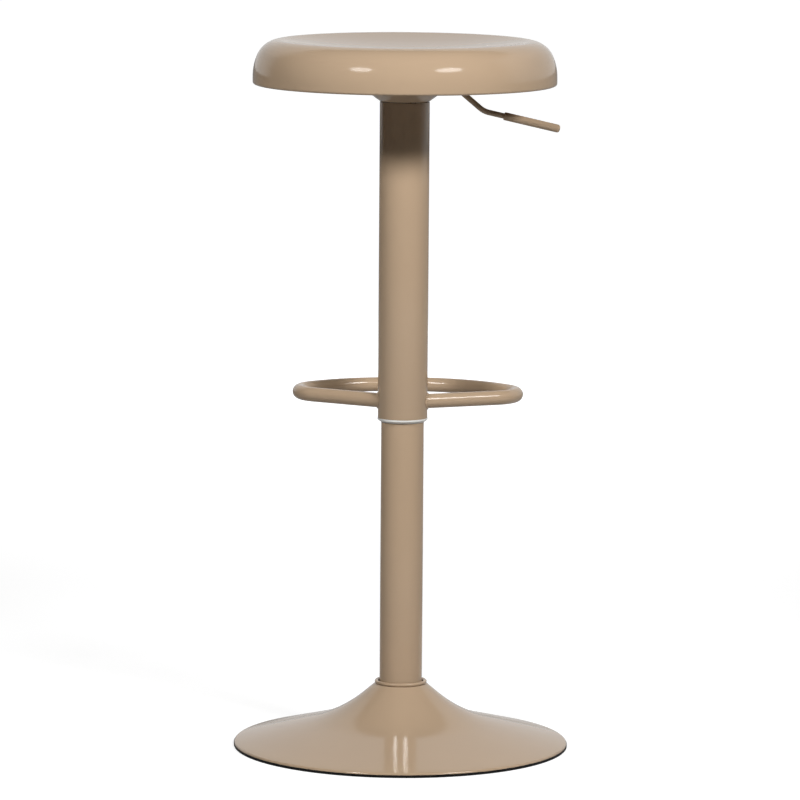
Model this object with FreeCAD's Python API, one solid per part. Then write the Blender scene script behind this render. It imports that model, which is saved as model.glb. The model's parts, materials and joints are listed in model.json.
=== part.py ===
import FreeCAD, Part
import math
import os

# A bar stool with a round pressed-steel seat, a footrest hoop and a trumpet base.
# The seat, the cover tube and the footrest ride on a gas cylinder that slides and turns in the column.
# Lengths are in millimetres and angles in degrees. The origin is on the floor, on the column's axis.
# +Z is up, +Y points to the front of the footrest and +X to the lever. The seat is drawn fully raised.

Vector = FreeCAD.Vector
UP = Vector(0, 0, 1)
RIGHT_ANGLE = 90.0
FULL_TURN = 360.0
INWARD = 180.0

# Fits between pieces
FIT_GAP = 0.05  # round pieces that are pressed, wedged, screwed or welded together
SLIDE_GAP = 0.1  # round pieces that slide or turn in one another
CUT_OVERRUN = 5.0  # how far a cutting shape runs past what it cuts

# Height of the stool: the lift's travel, and what stays between collar and cover when it is down
STROKE = 210.0
LOWERED_GAP = 96.7

# Trumpet base, a spun steel dish
BASE_R = 196.0
BASE_H = 74.2
DISH_SHEET = 1.5
NECK_LIP_GAP = 0.6
NECK_LIP_WIDTH = 4.0
NECK_BEND_R = 2.0
NECK_SLOPE = 40.5
NECK_RUN = 16.4
SKIRT_SLOPE = 14.6
RIM_BEND_R = 3.0
RIM_DROP = 0.4

# Rubber foot ring, floor plate, ballast and hub under the dish
RUBBER_H = 2.6
RUBBER_SETBACK = 1.0
RUBBER_WIDTH = 14.0
RUBBER_EDGE_R = 0.8
FLOOR_PLATE_T = 1.5
FLOOR_PLATE_EDGE_GAP = 0.5
FLOOR_PLATE_HOLE_R = 20.0
BALLAST_RIM_GAP = 46.0
BALLAST_T = 5.0
BALLAST_HUB_GAP = 0.5
HUB_WALL = 3.5
NECK_RING_WIRE_R = 2.1
NECK_RING_GAP = 1.4

# Fixed column tube, which the base hub holds by a slight taper
COLUMN_R = 25.0
COLUMN_WALL = 1.5
COLUMN_TAPER_L = 50.0
COLUMN_TAPER_DROP = 0.8
END_PLATE_T = 4.0

# Ribbed plastic guide in the top of the column
GUIDE_L = 80.0
GUIDE_FLANGE_H = 3.0
GUIDE_SLEEVE_WALL = 3.0
GUIDE_BAND_H = 9.0
GUIDE_RIB_T = 2.0
GUIDE_RIB_COUNT = 6

# Thrust bearing, washer and clip at the foot of the piston rod
RACE_R = 12.0
RACE_T = 1.5
BALL_R = 2.0
BALL_GAP = 0.03
BALL_PITCH_R = 8.2
BALL_COUNT = 8
CAGE_T = 1.6
CAGE_EDGE = 1.0
CAGE_BALL_GAP = 0.15
ROD_R = 5.0
SPIGOT_R = 4.0
ROD_WASHER_R = 9.0
ROD_WASHER_T = 1.5
ROD_CLIP_R = 7.0
ROD_CLIP_T = 1.2
CLIP_GROOVE_DEPTH = 0.9
ROD_TAIL = 1.8
ROD_TAIL_ROOM = 1.5
BUMPER_R = 11.0
BUMPER_H = 12.0

# Piston
PISTON_L = 14.0
PISTON_FOOT_GAP = 0.6
PISTON_SEAL_W = 3.0
PISTON_SEAL_DEPTH = 1.6
RIVET_HEAD_R = 5.6
RIVET_HEAD_H = 2.0

# Gas cylinder, whose top is a slight cone
CYLINDER_R = 14.0
CYLINDER_WALL = 1.5
CYLINDER_TAPER = 1.0
CYLINDER_BELOW_GUIDE = 10.0
CYLINDER_ABOVE_CUP_FLOOR = 17.0
PRESSURE_TUBE_R = 11.0
PRESSURE_TUBE_WALL = 1.0
PLUG_SPIGOT_L = 4.0
ROD_GUIDE_L = 20.0
ROD_SEAL_H = 5.0
ROD_SEAL_WALL = 4.0
ROD_SEAL_LIFT = 8.0
VALVE_HEAD_L = 40.0
BUTTON_R = 4.0
BUTTON_PROUD = 4.1
BUTTON_L = 14.0
BUTTON_EDGE = 0.6
BUTTON_ROOM = 4.0
VALVE_STEM_R = 2.0
VALVE_SEAL_H = 3.0
VALVE_SEAL_WALL = 1.8
VALVE_SEAL_DROP = 4.0

# Cover tube that carries the footrest, its plastic bushing and the hub that wedges on the cylinder
COVER_L = 370.1
COVER_WALL = 1.5
BUSHING_WALL = 2.35
BUSHING_SLIDE_GAP = 0.15
BUSHING_FLANGE_H = 4.6
BUSHING_FLANGE_PROUD = 0.3
BUSHING_EDGE_H = 2.0
BUSHING_FOOT_WALL = 0.7
BUSHING_SLEEVE_L = 22.0
COVER_HUB_H = 14.0
COVER_HUB_DROP = 4.0
COVER_HUB_FLANGE_T = 3.0
COVER_HUB_WALL = 4.0
COVER_HUB_LOWERED_GAP = 12.0
COVER_TOP_GAP = 0.4

# Footrest hoop, one bent tube with both ends welded to the cover tube
HOOP_TUBE_R = 8.5
HOOP_WALL = 1.5
HOOP_RISE = 19.6
HOOP_HALF_WIDTH = 128.2
HOOP_REACH = 150.4
HOOP_SIDE_R = 37.0
HOOP_LEG_ANGLE = 26.5
HOOP_LEG_START = 27.0
WELD_WIDTH = 1.8
WELD_PROUD = 1.6

# Socket and cup of the seat mechanism
SOCKET_L = 34.0
SOCKET_WALL = 3.4
SOCKET_TIP_GAP = 2.0
CUP_SHEET = 2.0
CUP_R = 45.6
CUP_FLOOR_BEND_R = 4.0
CUP_SLOPE = 36.0
CUP_SHOULDER_BEND_R = 6.0
CUP_CONE_H = 9.6

# Release lever: a rocker on a pivot pin, a bent rod and its grip sleeve
LEVER_ARM = 26.0
ROCKER_NOSE_R = 5.5
ROCKER_NOSE_GAP = 0.2
ROCKER_T = 4.0
ROCKER_L = 34.0
ROCKER_ROOM = 2.5
BRACKET_T = 2.0
BRACKET_SIDE_GAP = 0.3
BRACKET_HALF_L = 7.0
PIVOT_PIN_R = 2.5
PIVOT_HEAD_R = 4.0
PIVOT_HEAD_T = 1.4
PIVOT_TAIL = 1.6
PIVOT_CLIP_T = 0.8
PIVOT_GROOVE_DEPTH = 0.5
LEVER_ROD_R = 3.25
LEVER_SLOT_SIDE_GAP = 0.4
LEVER_SLOT_FOOT_GAP = 0.4
LEVER_SLOT_TOP_GAP = 0.8
LEVER_LIFT_ANGLE = 7.0
LEVER_INNER_RUN = 9.9
LEVER_DROP_ANGLE = 40.0
LEVER_DROP_BEND_R = 10.0
LEVER_DROP_RUN = 48.4
LEVER_GRIP_ANGLE = 12.4
LEVER_GRIP_BEND_R = 25.0
LEVER_BARE_RUN = 17.9
SLEEVE_R = 4.75
SLEEVE_L = 66.6
SLEEVE_TIP_WALL = 3.0
SLEEVE_TIP_R = 3.2
SLEEVE_MOUTH_R = 0.6

# Seat plate, its fasteners and the bowl welded under the seat
SEAT_PLATE_T = 2.5
SEAT_PLATE_CORNER_R = 12.0
SEAT_PLATE_EDGE = 13.0
BOLT_SPACING = 96.0
BOLT_R = 3.0
BOLT_HOLE_GAP = 0.3
BOLT_HEAD_FLATS = 10.0
BOLT_HEAD_H = 4.0
BOLT_TIP = 1.5
WASHER_R = 6.0
WASHER_T = 1.6
NUT_FLATS = 11.0
NUT_H = 5.0
BOWL_SHEET = 2.0
BOWL_WALL_SLOPE = 60.0
BOWL_BEND_R = 4.0
BOWL_WELD_WIDTH = 12.0
BOWL_CREST_GAP = 8.0

# Seat, a pressed steel pan with a dished top and a hemmed edge
SEAT_R = 176.8
SEAT_SHEET = 1.5
SEAT_DISH_DEPTH = 12.0
SEAT_DISH_CLEARANCE = 18.0
SHOULDER_R = 28.75
SHOULDER_TURN = 65.0
SIDE_BEND_R = 60.0
SIDE_RUN = 6.5
HEM_BEND_R = 3.0
HEM_WIDTH = 5.0


# Heights and radii that follow from the sizes above, from the floor upwards
FLOOR_PLATE_TOP_Z = RUBBER_H + FLOOR_PLATE_T
HUB_R = COLUMN_R + FIT_GAP + HUB_WALL
ROD_TAIL_L = SLIDE_GAP + ROD_WASHER_T + FIT_GAP + ROD_CLIP_T + ROD_TAIL
COLUMN_FOOT_Z = FLOOR_PLATE_TOP_Z + ROD_TAIL_ROOM + ROD_TAIL_L
COLUMN_BORE_R = COLUMN_R - COLUMN_WALL
NECK_RING_TOP_Z = BASE_H + 2 * NECK_RING_WIRE_R

BUSHING_BORE_R = COLUMN_R + BUSHING_SLIDE_GAP
COVER_BORE_R = BUSHING_BORE_R + BUSHING_WALL + FIT_GAP
COVER_R = COVER_BORE_R + COVER_WALL
BUSHING_FOOT_Z = NECK_RING_TOP_Z + LOWERED_GAP + STROKE
COVER_FOOT_Z = BUSHING_FOOT_Z + BUSHING_FLANGE_H
COVER_TOP_Z = COVER_FOOT_Z + COVER_L
CUP_FLOOR_Z = COVER_TOP_Z + COVER_TOP_GAP

CYLINDER_TOP_Z = CUP_FLOOR_Z + CYLINDER_ABOVE_CUP_FLOOR
SOCKET_TOP_Z = CYLINDER_TOP_Z - SOCKET_TIP_GAP
SOCKET_FOOT_Z = SOCKET_TOP_Z - SOCKET_L
COVER_HUB_TOP_Z = SOCKET_FOOT_Z - COVER_HUB_DROP
COVER_HUB_FOOT_Z = COVER_HUB_TOP_Z - COVER_HUB_H
COLUMN_TOP_Z = COVER_HUB_FOOT_Z - STROKE - COVER_HUB_LOWERED_GAP - GUIDE_FLANGE_H
GUIDE_FOOT_Z = COLUMN_TOP_Z - GUIDE_L
CYLINDER_FOOT_Z = GUIDE_FOOT_Z - CYLINDER_BELOW_GUIDE
ROD_GUIDE_TOP_Z = CYLINDER_FOOT_Z + ROD_GUIDE_L
VALVE_HEAD_FOOT_Z = CYLINDER_TOP_Z - VALVE_HEAD_L
PRESSURE_BORE_R = PRESSURE_TUBE_R - PRESSURE_TUBE_WALL
SOCKET_R = CYLINDER_R + FIT_GAP + SOCKET_WALL

RACE_FOOT_Z = COLUMN_FOOT_Z + END_PLATE_T
BALL_Z = RACE_FOOT_Z + RACE_T + BALL_GAP + BALL_R
UPPER_RACE_Z = BALL_Z + BALL_R + BALL_GAP
ROD_SHOULDER_Z = UPPER_RACE_Z + RACE_T
PISTON_FOOT_Z = ROD_GUIDE_TOP_Z + PISTON_FOOT_GAP

BUTTON_TOP_Z = CYLINDER_TOP_Z + BUTTON_PROUD
BUTTON_FOOT_Z = BUTTON_TOP_Z - BUTTON_L
PIVOT_Z = BUTTON_TOP_Z + ROCKER_NOSE_GAP + ROCKER_NOSE_R
BRACKET_TOP_Z = PIVOT_Z + ROCKER_NOSE_R + ROCKER_ROOM + BRACKET_T
SEAT_PLATE_Z = BRACKET_TOP_Z
SEAT_PLATE_TOP_Z = SEAT_PLATE_Z + SEAT_PLATE_T
BOWL_TOP_Z = SEAT_PLATE_TOP_Z + BOWL_SHEET
SEAT_UNDERSIDE_Z = SEAT_PLATE_TOP_Z + SEAT_DISH_CLEARANCE
SEAT_DISH_Z = SEAT_UNDERSIDE_Z + SEAT_SHEET
HOOP_Z = COVER_FOOT_Z + HOOP_RISE


def polar(angle, length):
    """A step of that length in the r-z plane, at an angle above the outward direction."""
    turned_by = math.radians(angle)
    return Vector(length * math.cos(turned_by), 0, length * math.sin(turned_by))


def run(length):
    """A straight stretch of a trace."""
    return (length, None)


def bend(radius, turn):
    """A round stretch of a trace. A positive turn is to the left."""
    return (radius, turn)


def trace(start, heading, moves, aside=0.0):
    """Draws runs and bends in the r-z plane, shifted to the right by aside. Gives the edges and the end."""
    at = start + polar(heading - RIGHT_ANGLE, aside)
    edges = []
    for size, turn in moves:
        if turn is None:
            end = at + polar(heading, size)
            edges.append(Part.makeLine(at, end))
        else:
            side = math.copysign(1, turn)
            radius = size + side * aside
            centre = at + polar(heading + side * RIGHT_ANGLE, radius)
            spoke = heading - side * RIGHT_ANGLE
            middle = centre + polar(spoke + turn / 2, radius)
            end = centre + polar(spoke + turn, radius)
            edges.append(Part.Arc(at, middle, end).toShape())
            heading += turn
        at = end
    return edges, at


def reach(heading, moves):
    """How far the moves go from their start."""
    return trace(Vector(), heading, moves)[1]


def steps(gap, first, second):
    """How often each of two steps is taken, so that together they cross the gap."""
    cross = first.x * second.z - first.z * second.x
    first_count = (gap.x * second.z - gap.z * second.x) / cross
    second_count = (first.x * gap.z - first.z * gap.x) / cross
    return first_count, second_count


def revolve(wire):
    """The solid that a closed outline in the r-z plane makes round the column's axis."""
    return Part.Face(wire).revolve(Vector(), UP, FULL_TURN)


def sheet_ring(start, heading, moves, thickness):
    """A spun or pressed sheet: its outer side follows the moves, and its thickness lies to their right."""
    outer, outer_end = trace(start, heading, moves)
    inner, inner_end = trace(start, heading, moves, thickness)
    inner_start = start + polar(heading - RIGHT_ANGLE, thickness)
    edge = Part.makeLine(outer_end, inner_end)
    closing = Part.makeLine(inner_start, start)
    return revolve(Part.Wire(outer + [edge] + inner[::-1] + [closing]))


def turned(points):
    """A lathe-turned solid with that outline of (radius, height) points."""
    corners = [Vector(r, 0, z) for r, z in points]
    return revolve(Part.makePolygon(corners + corners[:1]))


def ring(outer_r, inner_r, foot_z, height):
    """A plain tube or disc round the column's axis."""
    top_z = foot_z + height
    return turned([(inner_r, foot_z), (outer_r, foot_z), (outer_r, top_z), (inner_r, top_z)])


def box(x_span, y_span, z_span):
    """A block between two values on each axis."""
    low, high = zip(x_span, y_span, z_span)
    size = [b - a for a, b in zip(low, high)]
    return Part.makeBox(*size, Vector(*low))


def rod_along(path, start, direction, radius):
    """A round bar of that radius that follows a wire."""
    outline = Part.Wire(Part.makeCircle(radius, start, direction))
    return path.makePipeShell([outline], True, False)


def around_axis(shape, count):
    """Copies of a shape, evenly spaced round the column's axis."""
    copies = []
    for k in range(count):
        copy = shape.copy()
        copy.rotate(Vector(), UP, k * FULL_TURN / count)
        copies.append(copy)
    return copies


def hexagon(flats, foot_z, height):
    """A six-sided prism on the column's axis."""
    corner_r = flats / math.sqrt(3)
    corners = []
    for k in range(6):
        angle = k * math.tau / 6
        corners.append(Vector(corner_r * math.cos(angle), corner_r * math.sin(angle), foot_z))
    return Part.Face(Part.makePolygon(corners + corners[:1])).extrude(UP * height)


def at_bolts(shape):
    """Copies of a shape that is drawn on the column's axis, one at each seat bolt."""
    half = BOLT_SPACING / 2
    copies = []
    for x in (-half, half):
        for y in (-half, half):
            copies.append(shape.translated(Vector(x, y, 0)))
    return copies


# Base

def dish_start():
    """The inner edge of the lip on top of the base dish."""
    return Vector(COLUMN_R + NECK_LIP_GAP, 0, BASE_H)


def dish_moves():
    """The outline of the trumpet: lip, neck, flare, skirt and rim."""
    lip = run(NECK_LIP_WIDTH)
    neck = [bend(NECK_BEND_R, -NECK_SLOPE), run(NECK_RUN)]
    rim = [bend(RIM_BEND_R, SKIRT_SLOPE - RIGHT_ANGLE), run(RIM_DROP)]
    flare_turn = NECK_SLOPE - SKIRT_SLOPE
    ends = reach(0, [lip] + neck) + reach(-SKIRT_SLOPE, rim)
    gap = Vector(BASE_R, 0, RUBBER_H) - dish_start() - ends
    unit_flare = reach(-NECK_SLOPE, [bend(1, flare_turn)])
    flare_r, skirt_run = steps(gap, unit_flare, polar(-SKIRT_SLOPE, 1))
    return [lip] + neck + [bend(flare_r, flare_turn), run(skirt_run)] + rim


def base_dish():
    return sheet_ring(dish_start(), 0, dish_moves(), DISH_SHEET)


def base_rubber_ring():
    """The black ring under the rim, with its lower outer edge rounded."""
    outer_r = BASE_R - RUBBER_SETBACK
    inner_r = BASE_R - RUBBER_WIDTH
    body = ring(outer_r, inner_r, 0, RUBBER_H)
    floor_edges = [e for e in body.Edges if e.Closed and e.BoundBox.ZMax < RUBBER_H / 2]
    outer_edge = max(floor_edges, key=lambda e: e.Length)
    return body.makeFillet(RUBBER_EDGE_R, [outer_edge])


def floor_plate():
    """The steel plate that closes the base from below and lies on the rubber ring."""
    outer_r = BASE_R - DISH_SHEET - FLOOR_PLATE_EDGE_GAP
    return ring(outer_r, FLOOR_PLATE_HOLE_R, RUBBER_H, FLOOR_PLATE_T)


def ballast_disc():
    return ring(BASE_R - BALLAST_RIM_GAP, HUB_R + BALLAST_HUB_GAP, FLOOR_PLATE_TOP_Z, BALLAST_T)


def column_taper(offset):
    """(radius, height) at the lower and upper end of the column's taper, that far out of its surface."""
    lower = (COLUMN_R - COLUMN_TAPER_DROP + offset, COLUMN_FOOT_Z)
    upper = (COLUMN_R + offset, COLUMN_FOOT_Z + COLUMN_TAPER_L)
    return lower, upper


def base_hub():
    """The tube that stands on the floor plate and holds the column's tapered foot."""
    lower, upper = column_taper(FIT_GAP)
    top_z = BASE_H - DISH_SHEET
    foot = (lower[0], FLOOR_PLATE_TOP_Z)
    return turned([foot, (HUB_R, FLOOR_PLATE_TOP_Z), (HUB_R, top_z), (upper[0], top_z), upper, lower])


def neck_ring():
    """The round collar that lies on the dish's lip, round the column."""
    centre_r = COLUMN_R + NECK_RING_GAP + NECK_RING_WIRE_R
    centre = Vector(0, 0, BASE_H + NECK_RING_WIRE_R)
    return Part.makeTorus(centre_r, NECK_RING_WIRE_R, centre)


# Fixed column

def column_tube():
    lower, upper = column_taper(0)
    inner_lower, inner_upper = column_taper(-COLUMN_WALL)
    outer_top = (COLUMN_R, COLUMN_TOP_Z)
    inner_top = (COLUMN_BORE_R, COLUMN_TOP_Z)
    return turned([lower, upper, outer_top, inner_top, inner_upper, inner_lower])


def column_end_plate():
    """The disc in the column's foot, which carries the thrust bearing."""
    outer_r = COLUMN_BORE_R - COLUMN_TAPER_DROP - FIT_GAP
    return ring(outer_r, SPIGOT_R + SLIDE_GAP, COLUMN_FOOT_Z, END_PLATE_T)


def guide_bushing():
    """The ribbed plastic guide: a bore sleeve, a band at each end, ribs between and a flange on top."""
    bore_r = CYLINDER_R + SLIDE_GAP
    sleeve_r = bore_r + GUIDE_SLEEVE_WALL
    outer_r = COLUMN_BORE_R - FIT_GAP
    band_top_z = GUIDE_FOOT_Z + GUIDE_BAND_H
    upper_band_z = COLUMN_TOP_Z - GUIDE_BAND_H
    flange_top_z = COLUMN_TOP_Z + GUIDE_FLANGE_H
    body = turned([
        (bore_r, GUIDE_FOOT_Z), (outer_r, GUIDE_FOOT_Z), (outer_r, band_top_z), (sleeve_r, band_top_z),
        (sleeve_r, upper_band_z), (outer_r, upper_band_z), (outer_r, COLUMN_TOP_Z),
        (COLUMN_R, COLUMN_TOP_Z),
        (COLUMN_R, flange_top_z), (bore_r, flange_top_z),
    ])
    half = GUIDE_RIB_T / 2
    middle_r = (bore_r + sleeve_r) / 2
    rib = box((middle_r, outer_r - FIT_GAP), (-half, half), (GUIDE_FOOT_Z + half, COLUMN_TOP_Z - half))
    return body.fuse(around_axis(rib, GUIDE_RIB_COUNT)).removeSplitter()


# Thrust bearing and piston rod

def bearing_lower_race():
    return ring(RACE_R, SPIGOT_R + SLIDE_GAP, RACE_FOOT_Z, RACE_T)


def bearing_upper_race():
    return ring(RACE_R, SPIGOT_R + FIT_GAP, UPPER_RACE_Z, RACE_T)


def ball():
    return Part.makeSphere(BALL_R, Vector(BALL_PITCH_R, 0, BALL_Z))


def bearing_balls():
    return Part.makeCompound(around_axis(ball(), BALL_COUNT))


def ball_cage():
    """The flat ring that keeps the balls apart."""
    wide = BALL_R + CAGE_EDGE
    plate = ring(BALL_PITCH_R + wide, BALL_PITCH_R - wide, BALL_Z - CAGE_T / 2, CAGE_T)
    hole = Part.makeSphere(BALL_R + CAGE_BALL_GAP, Vector(BALL_PITCH_R, 0, BALL_Z))
    return plate.cut(around_axis(hole, BALL_COUNT))


def clip_z():
    """The underside of the clip that keeps the rod in the column's foot."""
    return COLUMN_FOOT_Z - SLIDE_GAP - ROD_WASHER_T - FIT_GAP - ROD_CLIP_T


def piston_rod():
    """The rod: a spigot with a clip groove below, a shoulder on the bearing, and a riveted end above."""
    groove_r = SPIGOT_R - CLIP_GROOVE_DEPTH
    groove_foot_z = clip_z() - FIT_GAP
    groove_top_z = clip_z() + ROD_CLIP_T + FIT_GAP
    piston_top_z = PISTON_FOOT_Z + PISTON_L
    return turned([
        (0, clip_z() - ROD_TAIL), (SPIGOT_R, clip_z() - ROD_TAIL), (SPIGOT_R, groove_foot_z),
        (groove_r, groove_foot_z), (groove_r, groove_top_z), (SPIGOT_R, groove_top_z),
        (SPIGOT_R, ROD_SHOULDER_Z), (ROD_R, ROD_SHOULDER_Z),
        (ROD_R, PISTON_FOOT_Z), (SPIGOT_R, PISTON_FOOT_Z),
        (SPIGOT_R, piston_top_z), (RIVET_HEAD_R, piston_top_z), (RIVET_HEAD_R, piston_top_z + RIVET_HEAD_H),
        (0, piston_top_z + RIVET_HEAD_H),
    ])


def rod_washer():
    foot_z = COLUMN_FOOT_Z - SLIDE_GAP - ROD_WASHER_T
    return ring(ROD_WASHER_R, SPIGOT_R + FIT_GAP, foot_z, ROD_WASHER_T)


def rod_clip():
    """The open spring clip in the rod's groove."""
    inner_r = SPIGOT_R - CLIP_GROOVE_DEPTH + FIT_GAP
    z_span = (clip_z() - CUT_OVERRUN, clip_z() + ROD_CLIP_T + CUT_OVERRUN)
    mouth = box((0, ROD_CLIP_R + CUT_OVERRUN), (-inner_r, inner_r), z_span)
    return ring(ROD_CLIP_R, inner_r, clip_z(), ROD_CLIP_T).cut(mouth)


def bump_stop():
    return ring(BUMPER_R, ROD_R + SLIDE_GAP, ROD_SHOULDER_Z, BUMPER_H)


def piston_seal_groove():
    """The inner radius and foot height of the groove round the piston."""
    foot_z = PISTON_FOOT_Z + (PISTON_L - PISTON_SEAL_W) / 2
    return PRESSURE_BORE_R - PISTON_SEAL_DEPTH, foot_z


def piston():
    outer_r = PRESSURE_BORE_R - 2 * SLIDE_GAP
    bore_r = SPIGOT_R + FIT_GAP
    groove_r, groove_z = piston_seal_groove()
    groove_top_z = groove_z + PISTON_SEAL_W
    top_z = PISTON_FOOT_Z + PISTON_L
    return turned([
        (bore_r, PISTON_FOOT_Z), (outer_r, PISTON_FOOT_Z), (outer_r, groove_z), (groove_r, groove_z),
        (groove_r, groove_top_z), (outer_r, groove_top_z), (outer_r, top_z), (bore_r, top_z),
    ])


def piston_seal():
    groove_r, groove_z = piston_seal_groove()
    height = PISTON_SEAL_W - 2 * FIT_GAP
    return ring(PRESSURE_BORE_R - SLIDE_GAP, groove_r + FIT_GAP, groove_z + FIT_GAP, height)


# Gas cylinder and valve

def cone_r(z):
    """The gas cylinder's radius at a height on its cone, which starts under the cover tube's hub."""
    return CYLINDER_R - (z - COVER_HUB_FOOT_Z) * math.tan(math.radians(CYLINDER_TAPER))


def gas_cylinder():
    top_r = cone_r(CYLINDER_TOP_Z)
    wall_r = CYLINDER_R - CYLINDER_WALL
    return turned([
        (wall_r, CYLINDER_FOOT_Z), (CYLINDER_R, CYLINDER_FOOT_Z), (CYLINDER_R, COVER_HUB_FOOT_Z),
        (top_r, CYLINDER_TOP_Z), (top_r - CYLINDER_WALL, CYLINDER_TOP_Z), (wall_r, COVER_HUB_FOOT_Z),
    ])


def pressure_tube():
    """The inner tube that the piston runs in."""
    foot_z = ROD_GUIDE_TOP_Z - PLUG_SPIGOT_L
    return ring(PRESSURE_TUBE_R, PRESSURE_BORE_R, foot_z, VALVE_HEAD_FOOT_Z + PLUG_SPIGOT_L - foot_z)


def cylinder_rod_guide():
    """The plug in the cylinder's foot that the rod runs through, with a recess for its seal."""
    outer_r = CYLINDER_R - CYLINDER_WALL - FIT_GAP
    spigot_r = PRESSURE_BORE_R - FIT_GAP
    bore_r = ROD_R + SLIDE_GAP
    recess_r = bore_r + ROD_SEAL_WALL
    shoulder_z = ROD_GUIDE_TOP_Z - PLUG_SPIGOT_L
    seal_z = CYLINDER_FOOT_Z + ROD_SEAL_LIFT
    seal_top_z = seal_z + ROD_SEAL_H
    return turned([
        (bore_r, CYLINDER_FOOT_Z), (outer_r, CYLINDER_FOOT_Z), (outer_r, shoulder_z),
        (spigot_r, shoulder_z),
        (spigot_r, ROD_GUIDE_TOP_Z), (bore_r, ROD_GUIDE_TOP_Z), (bore_r, seal_top_z),
        (recess_r, seal_top_z),
        (recess_r, seal_z), (bore_r, seal_z),
    ])


def rod_seal():
    bore_r = ROD_R + SLIDE_GAP
    foot_z = CYLINDER_FOOT_Z + ROD_SEAL_LIFT + FIT_GAP
    return ring(bore_r + ROD_SEAL_WALL - FIT_GAP, bore_r, foot_z, ROD_SEAL_H - 2 * FIT_GAP)


def valve_seal_z():
    """The underside of the seal's recess in the valve head."""
    return BUTTON_FOOT_Z - BUTTON_ROOM - VALVE_SEAL_DROP - VALVE_SEAL_H


def valve_head():
    """The plug in the cylinder's cone, bored in steps for the release pin and its seal."""
    inset = CYLINDER_WALL + FIT_GAP
    shoulder_z = VALVE_HEAD_FOOT_Z + PLUG_SPIGOT_L
    spigot_r = PRESSURE_BORE_R - FIT_GAP
    button_bore_r = BUTTON_R + SLIDE_GAP
    stem_bore_r = VALVE_STEM_R + SLIDE_GAP
    seal_r = stem_bore_r + VALVE_SEAL_WALL
    step_z = BUTTON_FOOT_Z - BUTTON_ROOM
    seal_z = valve_seal_z()
    seal_top_z = seal_z + VALVE_SEAL_H
    return turned([
        (stem_bore_r, VALVE_HEAD_FOOT_Z), (spigot_r, VALVE_HEAD_FOOT_Z), (spigot_r, shoulder_z),
        (cone_r(shoulder_z) - inset, shoulder_z), (cone_r(CYLINDER_TOP_Z) - inset, CYLINDER_TOP_Z),
        (button_bore_r, CYLINDER_TOP_Z), (button_bore_r, step_z), (stem_bore_r, step_z),
        (stem_bore_r, seal_top_z), (seal_r, seal_top_z), (seal_r, seal_z), (stem_bore_r, seal_z),
    ])


def valve_seal():
    bore_r = VALVE_STEM_R + SLIDE_GAP
    outer_r = bore_r + VALVE_SEAL_WALL - FIT_GAP
    return ring(outer_r, bore_r, valve_seal_z() + FIT_GAP, VALVE_SEAL_H - 2 * FIT_GAP)


def release_pin():
    """The button on top of the cylinder and the valve stem under it."""
    edge_r = BUTTON_R - BUTTON_EDGE
    edge_z = BUTTON_TOP_Z - BUTTON_EDGE
    return turned([
        (0, VALVE_HEAD_FOOT_Z), (VALVE_STEM_R, VALVE_HEAD_FOOT_Z), (VALVE_STEM_R, BUTTON_FOOT_Z),
        (BUTTON_R, BUTTON_FOOT_Z), (BUTTON_R, edge_z), (edge_r, BUTTON_TOP_Z), (0, BUTTON_TOP_Z),
    ])


# Cover tube and footrest

def cover_tube():
    return ring(COVER_R, COVER_BORE_R, COVER_FOOT_Z, COVER_L)


def cover_bushing():
    """The pale plastic ring in the cover's lower end, which slides on the column."""
    sleeve_r = COVER_BORE_R - FIT_GAP
    flange_r = COVER_R + BUSHING_FLANGE_PROUD
    return turned([
        (BUSHING_BORE_R, BUSHING_FOOT_Z), (BUSHING_BORE_R + BUSHING_FOOT_WALL, BUSHING_FOOT_Z),
        (flange_r, COVER_FOOT_Z - BUSHING_EDGE_H), (flange_r, COVER_FOOT_Z), (sleeve_r, COVER_FOOT_Z),
        (sleeve_r, COVER_FOOT_Z + BUSHING_SLEEVE_L), (BUSHING_BORE_R, COVER_FOOT_Z + BUSHING_SLEEVE_L),
    ])


def cover_hub():
    """The flanged ring inside the cover tube that wedges on the foot of the cylinder's cone."""
    flange_foot_z = COVER_HUB_TOP_Z - COVER_HUB_FLANGE_T
    boss_r = CYLINDER_R + FIT_GAP + COVER_HUB_WALL
    rim_r = COVER_BORE_R - FIT_GAP
    lower_bore_r = cone_r(COVER_HUB_FOOT_Z) + FIT_GAP
    upper_bore_r = cone_r(COVER_HUB_TOP_Z) + FIT_GAP
    return turned([
        (lower_bore_r, COVER_HUB_FOOT_Z), (boss_r, COVER_HUB_FOOT_Z), (boss_r, flange_foot_z),
        (rim_r, flange_foot_z), (rim_r, COVER_HUB_TOP_Z), (upper_bore_r, COVER_HUB_TOP_Z),
    ])


def hoop_points():
    """The hoop's right half on plan, from its weld to the middle of its front."""
    angle = math.radians(HOOP_LEG_ANGLE)
    along = Vector(math.cos(angle), math.sin(angle), 0)
    inwards = Vector(-math.sin(angle), math.cos(angle), 0)
    side_x = HOOP_HALF_WIDTH - HOOP_SIDE_R
    leg = (side_x + HOOP_SIDE_R * math.sin(angle) - HOOP_LEG_START) / math.cos(angle)
    start = Vector(HOOP_LEG_START, 0, HOOP_Z)
    leg_end = start + along * leg
    side_centre = leg_end + inwards * HOOP_SIDE_R
    short = side_centre.y - HOOP_REACH
    front_r = (side_x ** 2 + short ** 2 - HOOP_SIDE_R ** 2) / (-2 * (short + HOOP_SIDE_R))
    front_centre = Vector(0, HOOP_REACH - front_r, HOOP_Z)
    spoke = (side_centre - front_centre).normalize()
    side_end = side_centre + spoke * HOOP_SIDE_R
    side_middle = side_centre + (spoke - inwards).normalize() * HOOP_SIDE_R
    front = Vector(0, HOOP_REACH, HOOP_Z)
    return start, leg_end, side_middle, side_end, front


def mirrored(point):
    return Vector(-point.x, point.y, point.z)


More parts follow.
